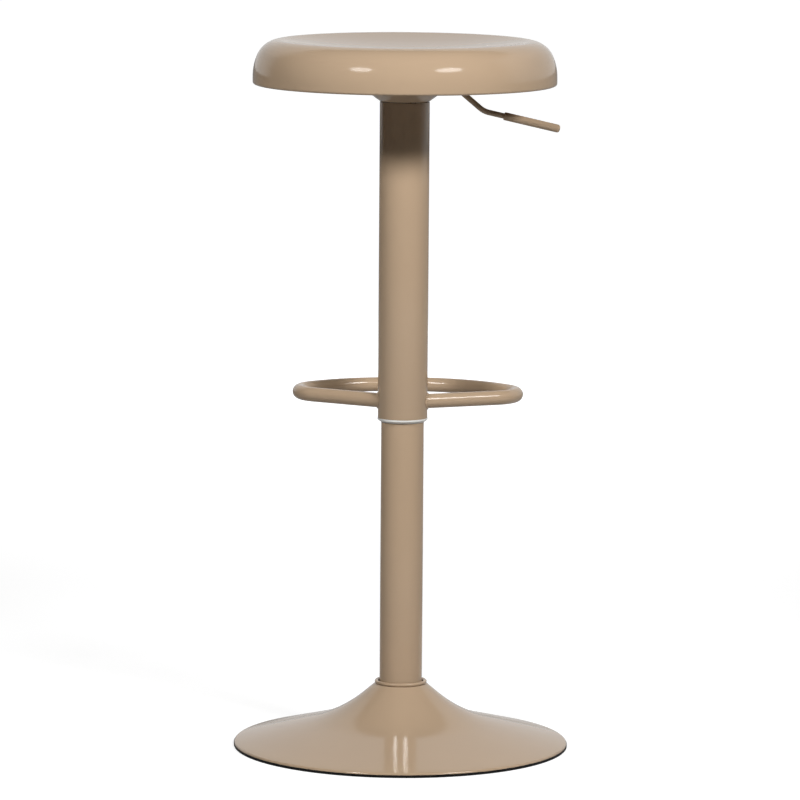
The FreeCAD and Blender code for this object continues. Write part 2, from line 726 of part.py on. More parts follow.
def hoop_bar(radius):
    """A solid bar of that radius along the whole hoop."""
    start, leg_end, side_middle, side_end, front = hoop_points()
    path = Part.Wire([
        Part.makeLine(start, leg_end),
        Part.Arc(leg_end, side_middle, side_end).toShape(),
        Part.Arc(side_end, front, mirrored(side_end)).toShape(),
        Part.Arc(mirrored(side_end), mirrored(side_middle), mirrored(leg_end)).toShape(),
        Part.makeLine(mirrored(leg_end), mirrored(start)),
    ])
    return rod_along(path, start, leg_end - start, radius)


def upright(radius):
    """A cutting cylinder on the column's axis, across the hoop's height."""
    reach_z = HOOP_TUBE_R + WELD_WIDTH + CUT_OVERRUN
    return Part.makeCylinder(radius, 2 * reach_z, Vector(0, 0, HOOP_Z - reach_z))


def footrest_hoop():
    """The bent tube, whose ends are shaped to the cover tube."""
    return hoop_bar(HOOP_TUBE_R).cut([hoop_bar(HOOP_TUBE_R - HOOP_WALL), upright(COVER_R)])


def footrest_welds():
    """The weld bead round each end of the hoop."""
    start, leg_end = hoop_points()[:2]
    direction = (leg_end - start).normalize()
    root = start - direction * HOOP_LEG_START
    length = HOOP_LEG_START + COVER_R
    skin = upright(COVER_R + WELD_PROUD).cut(upright(COVER_R))
    beads = []
    for flip in (False, True):
        bar = Part.makeCylinder(HOOP_TUBE_R, length, root, direction)
        cone = Part.makeCylinder(HOOP_TUBE_R + WELD_WIDTH, length, root, direction)
        bead = cone.cut(bar)
        side = box((0, 2 * length), (-length, length), (HOOP_Z - length, HOOP_Z + length))
        bead = bead.common(side)
        if flip:
            bead = bead.mirror(Vector(), Vector(1, 0, 0))
        beads.append(bead.common(skin))
    return Part.makeCompound(beads)


# Seat mechanism

def taper_socket():
    """The tapered steel socket that grips the cylinder's cone."""
    foot = (cone_r(SOCKET_FOOT_Z) + FIT_GAP, SOCKET_FOOT_Z)
    top = (cone_r(SOCKET_TOP_Z) + FIT_GAP, SOCKET_TOP_Z)
    return turned([foot, (SOCKET_R, SOCKET_FOOT_Z), (SOCKET_R, SOCKET_TOP_Z), top])


def lever_slot():
    """The opening in the cup's wall, which the lever's rod passes through."""
    half = LEVER_ROD_R + LEVER_SLOT_SIDE_GAP
    foot_z = PIVOT_Z - LEVER_ROD_R - LEVER_SLOT_FOOT_GAP
    lift = (CUP_R - LEVER_ARM) * math.sin(math.radians(LEVER_LIFT_ANGLE))
    top_z = PIVOT_Z + LEVER_ROD_R + lift + LEVER_SLOT_TOP_GAP
    return box((CUP_R - CUP_SHEET - CUT_OVERRUN, CUP_R + CUT_OVERRUN), (-half, half), (foot_z, top_z))


def mechanism_cup():
    """The pressed cup between the socket and the seat plate."""
    top = Vector(CUP_R, 0, SEAT_PLATE_Z)
    shoulder = bend(CUP_SHOULDER_BEND_R, CUP_SLOPE - RIGHT_ANGLE)
    foot = bend(CUP_FLOOR_BEND_R, -CUP_SLOPE)
    hole_r = SOCKET_R + FIT_GAP
    cone_run = CUP_CONE_H / math.sin(math.radians(CUP_SLOPE))
    heading = CUP_SLOPE - INWARD
    lower = reach(-RIGHT_ANGLE, [shoulder]) + reach(heading, [run(cone_run), foot])
    wall_run = SEAT_PLATE_Z - CUP_FLOOR_Z + lower.z
    floor_run = CUP_R + lower.x - hole_r
    moves = [run(wall_run), shoulder, run(cone_run), foot, run(floor_run)]
    return sheet_ring(top, -RIGHT_ANGLE, moves, CUP_SHEET).cut(lever_slot())


def seat_plate():
    half = BOLT_SPACING / 2 + SEAT_PLATE_EDGE
    plate = box((-half, half), (-half, half), (SEAT_PLATE_Z, SEAT_PLATE_TOP_Z))
    corners = [e for e in plate.Edges if max(e.BoundBox.XLength, e.BoundBox.YLength) < SEAT_PLATE_T]
    plate = plate.makeFillet(SEAT_PLATE_CORNER_R, corners)
    return plate.cut(bolt_holes())


def bolt_holes():
    """Drills for the seat bolts, through plate and bowl."""
    height = SEAT_PLATE_T + BOWL_SHEET + 2 * CUT_OVERRUN
    drill = Part.makeCylinder(BOLT_R + BOLT_HOLE_GAP, height, Vector(0, 0, SEAT_PLATE_Z - CUT_OVERRUN))
    return at_bolts(drill)


def bracket_ear(low_y, high_y):
    """One ear of the lever's bracket, round at its lower end."""
    drop = ROCKER_NOSE_R
    block = box(
        (LEVER_ARM - BRACKET_HALF_L, LEVER_ARM + BRACKET_HALF_L), (low_y, high_y), (PIVOT_Z, BRACKET_TOP_Z)
    )
    tip = box((LEVER_ARM - drop, LEVER_ARM + drop), (low_y, high_y), (PIVOT_Z - drop, PIVOT_Z))
    round_tip = across(PIVOT_Z, BRACKET_HALF_L, low_y, high_y)
    return block.fuse(tip.common(round_tip)).fuse(round_tip)


def across(z, radius, low_y, high_y):
    """A cylinder along Y through the lever's pivot, between two values of y."""
    return Part.makeCylinder(radius, high_y - low_y, Vector(LEVER_ARM, low_y, z), Vector(0, 1, 0))


def bracket_inner():
    """Half the width between the bracket's ears."""
    return ROCKER_T / 2 + BRACKET_SIDE_GAP


def bracket_outer():
    return bracket_inner() + BRACKET_T


def lever_bracket():
    """The folded bracket under the seat plate that holds the pivot pin."""
    inner = bracket_inner()
    outer = bracket_outer()
    web = box(
        (LEVER_ARM - BRACKET_HALF_L, LEVER_ARM + BRACKET_HALF_L),
        (-outer, outer),
        (BRACKET_TOP_Z - BRACKET_T, BRACKET_TOP_Z),
    )
    ears = [bracket_ear(inner, outer), bracket_ear(-outer, -inner)]
    hole = across(PIVOT_Z, PIVOT_PIN_R + FIT_GAP, -outer - CUT_OVERRUN, outer + CUT_OVERRUN)
    return web.fuse(ears).removeSplitter().cut(hole)


def pivot_pin():
    """The lever's pivot pin, with a head on one side and a groove for its clip on the other."""
    outer = bracket_outer()
    head = across(PIVOT_Z, PIVOT_HEAD_R, -outer - FIT_GAP - PIVOT_HEAD_T, -outer - FIT_GAP)
    clip_y = outer + FIT_GAP
    groove_end_y = clip_y + PIVOT_CLIP_T + FIT_GAP / 2
    neck = across(PIVOT_Z, PIVOT_PIN_R, -outer - FIT_GAP, clip_y - FIT_GAP / 2)
    groove = across(PIVOT_Z, PIVOT_PIN_R - PIVOT_GROOVE_DEPTH, -outer, groove_end_y)
    tail = across(PIVOT_Z, PIVOT_PIN_R, groove_end_y, clip_y + PIVOT_CLIP_T + PIVOT_TAIL)
    return head.fuse([neck, groove, tail]).removeSplitter()


def pivot_clip():
    """The open spring clip on the pivot pin."""
    low_y = bracket_outer() + FIT_GAP
    high_y = low_y + PIVOT_CLIP_T
    inner_r = PIVOT_PIN_R - PIVOT_GROOVE_DEPTH + FIT_GAP
    bore = across(PIVOT_Z, inner_r, low_y - CUT_OVERRUN, high_y + CUT_OVERRUN)
    mouth = box(
        (LEVER_ARM - inner_r, LEVER_ARM + inner_r),
        (low_y - CUT_OVERRUN, high_y + CUT_OVERRUN),
        (PIVOT_Z - PIVOT_HEAD_R - CUT_OVERRUN, PIVOT_Z),
    )
    return across(PIVOT_Z, PIVOT_HEAD_R, low_y, high_y).cut([bore, mouth])


# Release lever

def lever_rocker():
    """The flat rocker: its round nose lies over the release pin, and the rod is welded to its other end."""
    half = ROCKER_T / 2
    bar = box((0, ROCKER_L), (-half, half), (PIVOT_Z - ROCKER_NOSE_R, PIVOT_Z + ROCKER_NOSE_R))
    nose = Part.makeCylinder(ROCKER_NOSE_R, ROCKER_T, Vector(0, -half, PIVOT_Z), Vector(0, 1, 0))
    hole = across(PIVOT_Z, PIVOT_PIN_R + SLIDE_GAP, -half - CUT_OVERRUN, half + CUT_OVERRUN)
    return bar.fuse(nose).removeSplitter().cut(hole)


def lever_moves():
    """The rod's bends, up to where the grip sleeve starts."""
    drop = bend(LEVER_DROP_BEND_R, -LEVER_DROP_ANGLE)
    level = bend(LEVER_GRIP_BEND_R, LEVER_DROP_ANGLE - LEVER_GRIP_ANGLE)
    return [run(LEVER_INNER_RUN), drop, run(LEVER_DROP_RUN), level, run(LEVER_BARE_RUN)]


def lever_rod():
    start = Vector(ROCKER_L, 0, PIVOT_Z)
    gripped = run(SLEEVE_L - SLEEVE_TIP_WALL)
    edges, _ = trace(start, 0, lever_moves() + [gripped])
    return rod_along(Part.Wire(edges), start, Vector(1, 0, 0), LEVER_ROD_R)


def lever_sleeve():
    """The grip sleeve, turned on its own axis and then laid along the end of the rod."""
    bore_r = LEVER_ROD_R + FIT_GAP
    bore_l = SLEEVE_L - SLEEVE_TIP_WALL + FIT_GAP
    body = Part.makeCylinder(SLEEVE_R, SLEEVE_L)
    mouth_edge = [e for e in body.Edges if e.Closed and e.BoundBox.ZMax < SLEEVE_L / 2]
    body = body.makeFillet(SLEEVE_MOUTH_R, mouth_edge)
    tip_edge = [e for e in body.Edges if e.Closed and e.BoundBox.ZMin > SLEEVE_L / 2]
    body = body.makeFillet(min(SLEEVE_TIP_R, SLEEVE_R - FIT_GAP), tip_edge)
    body = body.cut(Part.makeCylinder(bore_r, bore_l + CUT_OVERRUN, Vector(0, 0, -CUT_OVERRUN)))
    body.rotate(Vector(), Vector(0, 1, 0), RIGHT_ANGLE + LEVER_GRIP_ANGLE)
    mouth = Vector(ROCKER_L, 0, PIVOT_Z) + reach(0, lever_moves())
    return body.translated(mouth)


# Seat

def shoulder_and_side():
    """The outer curve of the seat, from its highest line down to where it is upright."""
    return [bend(SHOULDER_R, -SHOULDER_TURN), bend(SIDE_BEND_R, SHOULDER_TURN - RIGHT_ANGLE)]


def crest_r():
    """The radius of the seat's highest line."""
    return SEAT_R - reach(0, shoulder_and_side()).x


def seat_dish():
    """The dish's radius of curvature and its slope where it meets the shoulder's curve."""
    shoulder_z = SEAT_DISH_DEPTH - SHOULDER_R
    radius = (crest_r() ** 2 + shoulder_z ** 2 - SHOULDER_R ** 2) / (2 * SEAT_DISH_DEPTH)
    slope = math.degrees(math.asin(crest_r() / (radius + SHOULDER_R)))
    return radius, slope


def seat_pan():
    """The pressed steel pan: dished top, round shoulder, side and inward hem."""
    radius, slope = seat_dish()
    dish = bend(radius, slope)
    inner_shoulder = bend(SHOULDER_R, -slope)
    hem = bend(HEM_BEND_R, -RIGHT_ANGLE)
    moves = [dish, inner_shoulder] + shoulder_and_side() + [run(SIDE_RUN), hem, run(HEM_WIDTH)]
    return sheet_ring(Vector(0, 0, SEAT_DISH_Z), 0, moves, SEAT_SHEET)


def seat_bowl():
    """The pressed bowl under the seat: a flat floor on the seat plate and a flange under the dish."""
    weld_r = crest_r() - BOWL_CREST_GAP - BOWL_WELD_WIDTH
    flange_r = seat_dish()[0] + SEAT_SHEET
    flange_slope = math.degrees(math.asin(weld_r / flange_r))
    flange_turn = math.degrees(BOWL_WELD_WIDTH / flange_r)
    flange_rise = flange_r * (1 - math.cos(math.radians(flange_slope)))
    centre = Vector(0, 0, BOWL_TOP_Z)
    upwards = bend(BOWL_BEND_R, BOWL_WALL_SLOPE)
    outwards = bend(BOWL_BEND_R, flange_slope - BOWL_WALL_SLOPE)
    flange_start = Vector(weld_r, 0, SEAT_UNDERSIDE_Z + flange_rise)
    gap = flange_start - centre - reach(0, [upwards, outwards])
    floor_run, wall_run = steps(gap, polar(0, 1), polar(BOWL_WALL_SLOPE, 1))
    moves = [run(floor_run), upwards, run(wall_run), outwards, bend(flange_r, flange_turn)]
    return sheet_ring(centre, 0, moves, BOWL_SHEET).cut(bolt_holes())


def seat_bolts():
    """Hexagon bolts, from below through washer, plate and bowl into the weld nuts."""
    head_foot_z = SEAT_PLATE_Z - WASHER_T - BOLT_HEAD_H
    tip_z = BOWL_TOP_Z + NUT_H + BOLT_TIP
    shank = Part.makeCylinder(BOLT_R, tip_z - head_foot_z, Vector(0, 0, head_foot_z))
    bolt = hexagon(BOLT_HEAD_FLATS, head_foot_z, BOLT_HEAD_H).fuse(shank).removeSplitter()
    return Part.makeCompound(at_bolts(bolt))


def bolt_washers():
    washer = ring(WASHER_R, BOLT_R + FIT_GAP, SEAT_PLATE_Z - WASHER_T, WASHER_T)
    return Part.makeCompound(at_bolts(washer))


def weld_nuts():
    drill_foot = Vector(0, 0, BOWL_TOP_Z - CUT_OVERRUN)
    drill = Part.makeCylinder(BOLT_R + FIT_GAP, NUT_H + 2 * CUT_OVERRUN, drill_foot)
    nut = hexagon(NUT_FLATS, BOWL_TOP_Z, NUT_H).cut(drill)
    return Part.makeCompound(at_bolts(nut))


PIECES = [
    base_dish, base_rubber_ring, floor_plate, ballast_disc, base_hub, neck_ring,
    column_tube, column_end_plate, guide_bushing,
    bearing_lower_race, bearing_upper_race, bearing_balls, ball_cage,
    piston_rod, rod_washer, rod_clip, bump_stop, piston, piston_seal,
    gas_cylinder, pressure_tube, cylinder_rod_guide, rod_seal, valve_head, valve_seal, release_pin,
    cover_tube, cover_bushing, cover_hub, footrest_hoop, footrest_welds,
    taper_socket, mechanism_cup, seat_plate, lever_bracket, pivot_pin, pivot_clip,
    lever_rocker, lever_rod, lever_sleeve,
    seat_bowl, seat_bolts, bolt_washers, weld_nuts, seat_pan,
]


def main():
    os.makedirs("parts", exist_ok=True)
    for piece in PIECES:
        shape = piece()
        if not shape.isValid() or shape.Volume <= 0:
            raise ValueError(piece.__name__ + " is not a sound solid")
        shape.exportStep(os.path.join("parts", piece.__name__ + ".step"))
        print(piece.__name__, len(shape.Solids), round(shape.Volume))


main()
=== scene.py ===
import json
import math

import bmesh
import bpy
from mathutils import Matrix, Vector


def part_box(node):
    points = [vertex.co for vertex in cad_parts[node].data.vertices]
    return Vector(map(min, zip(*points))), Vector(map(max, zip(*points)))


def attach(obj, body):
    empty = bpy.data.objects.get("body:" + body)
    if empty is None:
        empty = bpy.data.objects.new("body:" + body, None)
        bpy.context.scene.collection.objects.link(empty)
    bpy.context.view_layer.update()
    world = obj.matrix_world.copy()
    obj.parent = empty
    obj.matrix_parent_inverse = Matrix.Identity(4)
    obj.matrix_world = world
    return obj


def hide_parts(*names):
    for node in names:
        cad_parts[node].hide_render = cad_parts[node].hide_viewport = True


# A height-adjustable bar stool: a round pressed-steel seat, a footrest hoop on a sliding cover tube, a fixed
# column and a trumpet base. Every painted piece is modelled here in the place that the frame gives it.
# Lengths are in metres and angles in radians. The origin is on the floor, on the column's axis.

bl_info = {
    "name": "Bar Stool",
    "version": (1, 0, 0),
    "blender": (4, 5, 0),
    "location": "3D View > Sidebar > Bar Stool",
    "description": "Models a swivelling bar stool piece by piece, with its finishes and a plain studio",
    "category": "Add Mesh",
}

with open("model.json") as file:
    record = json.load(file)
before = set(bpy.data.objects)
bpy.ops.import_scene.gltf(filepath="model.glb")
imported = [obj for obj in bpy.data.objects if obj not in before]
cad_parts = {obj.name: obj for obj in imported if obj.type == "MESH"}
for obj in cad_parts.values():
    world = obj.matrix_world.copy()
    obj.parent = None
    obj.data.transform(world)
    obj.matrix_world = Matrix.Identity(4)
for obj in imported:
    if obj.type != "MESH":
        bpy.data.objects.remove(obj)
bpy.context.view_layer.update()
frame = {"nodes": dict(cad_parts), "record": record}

MM = 0.001
SIDEWAYS, FORWARDS, UP = Vector((1, 0, 0)), Vector((0, 1, 0)), Vector((0, 0, 1))
UPRIGHT = (SIDEWAYS, UP)  # the plane in which outlines of round pieces are drawn
LEVEL = (SIDEWAYS, FORWARDS)  # the plane in which the footrest is bent
RIGHT_ANGLE = math.pi / 2
OUT, DOWN = 0.0, -RIGHT_ANGLE  # headings in the upright plane

# How finely pieces are modelled
BEND_STEP = math.radians(3)
LONGEST_STEP = 5 * MM
SHORTEST_STEP = 0.3 * MM
LONGEST_RUN = 14 * MM
WIDE_SIDES = 160
TUBE_SIDES = 96
BAR_SIDES = 48
BEAD_SIDES = 16
CORNER_SEGMENTS = 12
EDGE_SEGMENTS = 3
SHARP_ANGLE = math.radians(34)
SURE_FACING = 0.5  # the least cosine that tells which side of a face is outside

# By which part of the thickness there an edge is rounded
SHEET_EDGE, HEM_EDGE, PLATE_EDGE, ROD_EDGE, BOLT_EDGE, HEAD_EDGE = 5, 3, 8, 8, 6, 12
COLLAR_FLAT = 30  # by which part of its wire the collar is pressed flat

# How exactly pieces fit
MERGE_GAP = 0.001 * MM
PICK_GAP = 0.1 * MM  # how near a vertex is to the place that it is picked by
FIT_GAP = 0.05 * MM  # between round pieces that are pressed or slipped together
TIGHT_HOLE, LOOSE_HOLE = 1.02, 1.1  # the size of a bolt's hole to the size of its shank


def lowest(node):
    """The lowest corner of a CAD node's box."""
    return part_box(node)[0]


def highest(node):
    """The highest corner of a CAD node's box."""
    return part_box(node)[1]


def span(node):
    """The outer radius of a round CAD node, its foot and its top."""
    return highest(node).x, lowest(node).z, highest(node).z


# Sizes and colours

def length(name, description, default):
    return bpy.props.FloatProperty(
        name=name, description=description, default=default, min=0, precision=5,
        unit="LENGTH", subtype="DISTANCE",
    )


def angle(name, description, degrees):
    return bpy.props.FloatProperty(
        name=name, description=description, default=math.radians(degrees), unit="ROTATION", subtype="ANGLE"
    )


def power(name, description, default):
    return bpy.props.FloatProperty(name=name, description=description, default=default, min=0, unit="POWER")


def factor(name, description, default):
    return bpy.props.FloatProperty(name=name, description=description, default=default, min=0)


def colour(name, description, default):
    return bpy.props.FloatVectorProperty(
        name=name, description=description, default=default, min=0, max=1, size=3, subtype="COLOR_GAMMA"
    )


def share(name, description, default):
    return bpy.props.FloatProperty(
        name=name, description=description, default=default, min=0, max=1, subtype="FACTOR"
    )


class SeatSizes(bpy.types.PropertyGroup):
    radius: length("Radius", "From the axis to the seat's side", highest("seat_pan").x)
    top: length("Top", "Height of the seat's highest line", highest("seat_pan").z)
    dish_depth: length("Dish depth", "From the highest line down to the middle of the dish", 12 * MM)
    shoulder_radius: length("Shoulder radius", "Bend from the dish to the side", 28.75 * MM)
    shoulder_turn: angle("Shoulder turn", "How far the shoulder turns down from level", 65)
    side_radius: length("Side radius", "Bend of the side below the shoulder", 60 * MM)
    side_run: length("Side run", "Upright stretch below the side's bend", 6.5 * MM)
    hem_radius: length("Hem radius", "Bend of the hem under the seat", 3 * MM)
    hem_width: length("Hem width", "Flat stretch of the hem", 5 * MM)
    sheet: length("Sheet", "Thickness of the seat's steel", 1.5 * MM)


class BowlSizes(bpy.types.PropertyGroup):
    sheet: length("Sheet", "Thickness of the bowl's steel", 2 * MM)
    wall_slope: angle("Wall slope", "Slope of the bowl's wall", 60)
    bend_radius: length("Bend radius", "Bends below and above the bowl's wall", 4 * MM)
    weld_width: length("Weld width", "Width of the flange that is welded under the dish", 12 * MM)
    bolt_spacing: length("Bolt spacing", "Between the seat bolts along each side", 96 * MM)
    bolt_radius: length("Bolt radius", "Radius of a seat bolt's shank", 3 * MM)
    bolt_head_flats: length("Bolt head", "Across the flats of a bolt's head", 10 * MM)
    bolt_head_height: length("Bolt head height", "Height of a bolt's head", 4 * MM)
    washer_radius: length("Washer radius", "Outer radius of a bolt's washer", 6 * MM)
    nut_flats: length("Nut", "Across the flats of a weld nut", 11 * MM)
    nut_height: length("Nut height", "Height of a weld nut", 5 * MM)
    plate_corner: length("Plate corner", "Corner radius of the seat plate", 12 * MM)


class CupSizes(bpy.types.PropertyGroup):
    sheet: length("Sheet", "Thickness of the cup's steel", 2 * MM)
    slope: angle("Slope", "Slope of the cup's cone", 36)
    shoulder_radius: length("Shoulder radius", "Bend from the cup's wall to its cone", 6 * MM)
    floor_radius: length("Floor radius", "Bend from the cone to the cup's floor", 4 * MM)
    cone_height: length("Cone height", "Height of the cup's cone", 9.6 * MM)
    slot_gap: length("Slot gap", "Beside and below the lever in its slot", 0.4 * MM)
    slot_room: length("Slot room", "Above the lever in its slot", 3 * MM)


class LeverSizes(bpy.types.PropertyGroup):
    rod_radius: length("Rod radius", "Radius of the lever's rod", 3.25 * MM)
    inner_run: length("Inner run", "Straight stretch out of the cup", 9.9 * MM)
    drop_angle: angle("Drop angle", "How steeply the rod goes down from the cup", 40)
    drop_radius: length("Drop bend", "Radius of the bend at the cup", 10 * MM)
    drop_run: length("Drop run", "Straight stretch between the bends", 48.4 * MM)
    grip_angle: angle("Grip angle", "How steeply the grip goes down", 12.4)
    grip_radius: length("Grip bend", "Radius of the bend before the grip", 25 * MM)
    bare_run: length("Bare run", "Straight stretch between the bend and the grip", 17.9 * MM)
    sleeve_radius: length("Sleeve radius", "Outer radius of the grip sleeve", 4.75 * MM)
    sleeve_length: length("Sleeve length", "Length of the grip sleeve", 66.6 * MM)
    sleeve_tip_wall: length("Tip wall", "Thickness of the sleeve's closed end", 3 * MM)
    sleeve_tip_radius: length("Tip radius", "Rounding of the sleeve's closed end", 3.2 * MM)
    sleeve_mouth_radius: length("Mouth radius", "Rounding of the sleeve's open end", 0.9 * MM)


class FootrestSizes(bpy.types.PropertyGroup):
    side_radius: length("Side radius", "Bend at each side of the hoop, at the tube's middle", 37 * MM)
    leg_angle: angle("Leg angle", "Between a leg of the hoop and the lever's side", 26.5)
    leg_start: length("Leg start", "Where a leg's middle line meets the plane of the lever", 27 * MM)
    weld_radius: length("Weld radius", "Radius of the weld bead", 1.5 * MM)
    weld_ripples: bpy.props.IntProperty(
        name="Weld ripples", description="Ripples round one weld bead", default=34, min=8
    )
    ripple: share("Ripple", "How much thinner the bead is between its ripples", 0.14)


class ColumnSizes(bpy.types.PropertyGroup):
    wall: length("Wall", "Wall of the column and of the cover tube", 1.5 * MM)
    taper_length: length("Taper length", "Length of the column's tapered foot", 50 * MM)
    taper_drop: length("Taper drop", "How much smaller the foot's radius is", 0.8 * MM)
    edge: length("Edge", "Rounding of the tubes' ends", 0.4 * MM)
    bushing_bore_gap: length("Bushing gap", "Between the column and the white bushing", 0.15 * MM)
    bushing_foot_wall: length("Bushing foot wall", "Thickness of the bushing at its lower edge", 0.7 * MM)
    bushing_edge: length("Bushing edge", "Height of the bushing's full-width edge", 2 * MM)
    bushing_sleeve: length("Bushing sleeve", "Length of the bushing inside the cover tube", 22 * MM)


class BaseSizes(bpy.types.PropertyGroup):
    lip_gap: length("Lip gap", "Between the column and the dish's lip", 0.6 * MM)
    lip_width: length("Lip width", "Flat lip round the column", 4 * MM)
    neck_radius: length("Neck radius", "Bend from the lip to the neck", 2 * MM)
    neck_slope: angle("Neck slope", "Slope of the neck", 40.5)
    neck_run: length("Neck run", "Straight stretch of the neck", 16.4 * MM)
    skirt_slope: angle("Skirt slope", "Slope of the skirt", 14.6)
    rim_radius: length("Rim radius", "Bend at the rim", 3 * MM)
    rim_drop: length("Rim drop", "Upright stretch below the rim", 0.4 * MM)
    sheet: length("Sheet", "Thickness of the dish's steel", 1.5 * MM)
    plate_hole: length("Plate hole", "Radius of the hole in the floor plate", 20 * MM)
    rubber_width: length("Rubber width", "How far the rubber ring reaches in under the dish", 13 * MM)
    rubber_edge: length("Rubber edge", "Rounding of the rubber ring's lower edge", 0.8 * MM)
    rubber_lip: length("Rubber lip", "Thickness of the ring's lip round the dish's rim", 0.3 * MM)
    rubber_lip_rise: length("Lip rise", "How far the lip reaches up over the rim's foot", 0.7 * MM)


class FinishSettings(bpy.types.PropertyGroup):
    paint: colour("Paint", "Powder coat of the visible steel", (0.702, 0.608, 0.506))
    paint_roughness: share("Paint roughness", "How soft the powder coat's shine is", 0.11)
    white_plastic: colour("White plastic", "Bushing at the foot of the cover tube", (0.88, 0.88, 0.865))
    natural_plastic: colour("Natural plastic", "Guide and ball cage inside the column", (0.85, 0.84, 0.78))
    rubber: colour("Rubber", "Ring under the base, seals and bump stop", (0.06, 0.058, 0.055))
    black_paint: colour("Black paint", "Floor plate and gas cylinder", (0.13, 0.13, 0.135))
    raw_iron: colour("Raw iron", "Ballast disc", (0.34, 0.33, 0.32))
    mill_steel: colour("Mill steel", "Hub, end plate and pressure tube", (0.56, 0.56, 0.57))
    zinc_steel: colour("Zinc steel", "Fasteners, socket, bracket and rocker", (0.8, 0.8, 0.78))
    ground_steel: colour("Ground steel", "Piston rod, bearing and release pin", (0.86, 0.86, 0.87))
    aluminium: colour("Aluminium", "Piston and the plugs of the cylinder", (0.86, 0.86, 0.87))


class StageSettings(bpy.types.PropertyGroup):
    camera_azimuth: angle("Camera azimuth", "Angle of the camera round the stool", 4.6)
    camera_distance: length("Camera distance", "From the column's axis, on the floor", 6.2)
    camera_height: length("Camera height", "Above the floor", 1.239)
    camera_pitch: angle("Camera pitch", "How far the camera looks down", 7.615)
    camera_pan: angle("Camera pan", "How far the camera looks past the axis", 0.029)
    camera_roll: angle("Camera roll", "How far the camera leans", 0.407)
    lens: bpy.props.FloatProperty(
        name="Lens", description="Focal length on a 36 mm sensor", default=240.66, unit="CAMERA"
    )
    floor_size: length("Floor size", "Diameter of the floor", 120)
    floor_colour: colour("Floor colour", "Floor as the stool sees it", (0.62, 0.62, 0.62))
    floor_glow: share("Floor glow", "How much of the floor's white is its own, near the stool", 0.8)
    mirrored_floor: share("Mirrored floor", "How much of the floor's glow the stool mirrors behind it", 0.2)
    mirrored_near_floor: share("Mirrored near floor", "The same for the floor close to the base", 0.45)
    backdrop: share("Backdrop", "Brightness of the backdrop behind the stool", 0.5)
    backdrop_azimuth: angle("Backdrop azimuth", "Angle of the backdrop's middle round the stool", 165)
    lamp_distance: length("Lamp distance", "From the column's axis to the softboxes, on the floor", 2.75)
    lamp_height: length("Lamp height", "Height of the softboxes in front", 2.36)
    right_azimuth: angle("Right softbox", "Angle of the right softbox round the stool", 40.5)
    left_azimuth: angle("Left softbox", "Angle of the left softbox round the stool", -31)
    right_power: power("Right power", "Light of the right softbox", 84)
    left_power: power("Left power", "Light of the left softbox", 57)
    back_azimuth: angle("Back softbox", "Angle of the softbox behind round the stool", 183)
    back_distance: length("Back distance", "From the column's axis to the softbox behind", 4)
    back_height: length("Back height", "Height of the softbox behind", 1.3)
    back_power: power("Back power", "Light of the softbox behind", 40)
    right_glint: power("Right glint", "Reflection of the right softbox", 11)
    left_glint: power("Left glint", "Reflection of the left softbox", 8)
    tube_glint: factor("Tube glint", "How much stronger the bent tube and the base mirror the softboxes", 3.3)
    tube_glint_shift: angle("Tube glint shift", "How much further round the right tube glint stands", 10)
    column_glint: factor("Column glint", "How much stronger the column mirrors the softboxes", 12.5)


# Modelling by hand: one outline or section is drawn, and then spun or carried along

def run(distance):
    """A straight stretch of an outline."""
    return distance, None


def bend(radius, turn):
    """A round stretch of an outline. A positive turn is to the left, and a radius of 0 makes a corner."""
    return radius, turn


def heading_vector(plane, heading):
    across, up = plane
    return across * math.cos(heading) + up * math.sin(heading)


def bend_steps(radius, turn):
    """Into how many steps a bend is divided."""
    arc = radius * abs(turn)
    smooth = math.ceil(abs(turn) / BEND_STEP)
    return max(math.ceil(arc / LONGEST_STEP), min(smooth, math.ceil(arc / SHORTEST_STEP)), 2)


def draw(at, heading, moves, plane=UPRIGHT):
    """Carries what is selected along runs and bends. Gives where they end and the heading there."""
    axis = plane[0].cross(plane[1])
    for size, turn in moves:
        if turn is None:
            count = max(math.ceil(size / LONGEST_RUN), 1)
            step = heading_vector(plane, heading) * size / count
            for _ in range(count):
                bpy.ops.mesh.extrude_region_move(TRANSFORM_OT_translate={"value": step})
            at = at + step * count
            continue
        side = math.copysign(RIGHT_ANGLE, turn)
        centre = at + heading_vector(plane, heading + side) * size
        if size > 0:
            bpy.ops.mesh.spin(steps=bend_steps(size, turn), angle=-turn, center=centre, axis=axis)
        heading += turn
        at = centre - heading_vector(plane, heading + side) * size
    return at, heading


def end_of(at, heading, moves):
    """Where runs and bends in the upright plane end, without drawing them."""
    for size, turn in moves:
        if turn is None:
            at = at + heading_vector(UPRIGHT, heading) * size
            continue
        side = heading + math.copysign(RIGHT_ANGLE, turn)
        spokes = heading_vector(UPRIGHT, side), heading_vector(UPRIGHT, side + turn)
        at = at + (spokes[0] - spokes[1]) * size
        heading += turn
    return at


def steps_across(gap, first, second):
    """How often each of two steps is taken in the upright plane, so that together they cross the gap."""
    cross = first.x * second.z - first.z * second.x
    return (gap.x * second.z - gap.z * second.x) / cross, (first.x * gap.z - first.z * gap.x) / cross


def object_mode():
    if bpy.context.object and bpy.context.object.mode != "OBJECT":
        bpy.ops.object.mode_set(mode="OBJECT")


def select_only(piece):
    object_mode()
    bpy.ops.object.select_all(action="DESELECT")
    piece.select_set(True)
    bpy.context.view_layer.objects.active = piece


def edit(piece):
    """Edit mode with everything in the piece selected."""
    select_only(piece)
    bpy.ops.object.mode_set(mode="EDIT")
    bpy.ops.mesh.select_mode(type="VERT")
    bpy.ops.mesh.select_all(action="SELECT")


def new_piece(name):
    """Names the primitive that was just added and goes into edit mode with all of it selected."""
    piece = bpy.context.object
    piece.name = piece.data.name = name
    edit(piece)
    return piece


def ready_to_add():
    object_mode()
    bpy.ops.object.select_all(action="DESELECT")


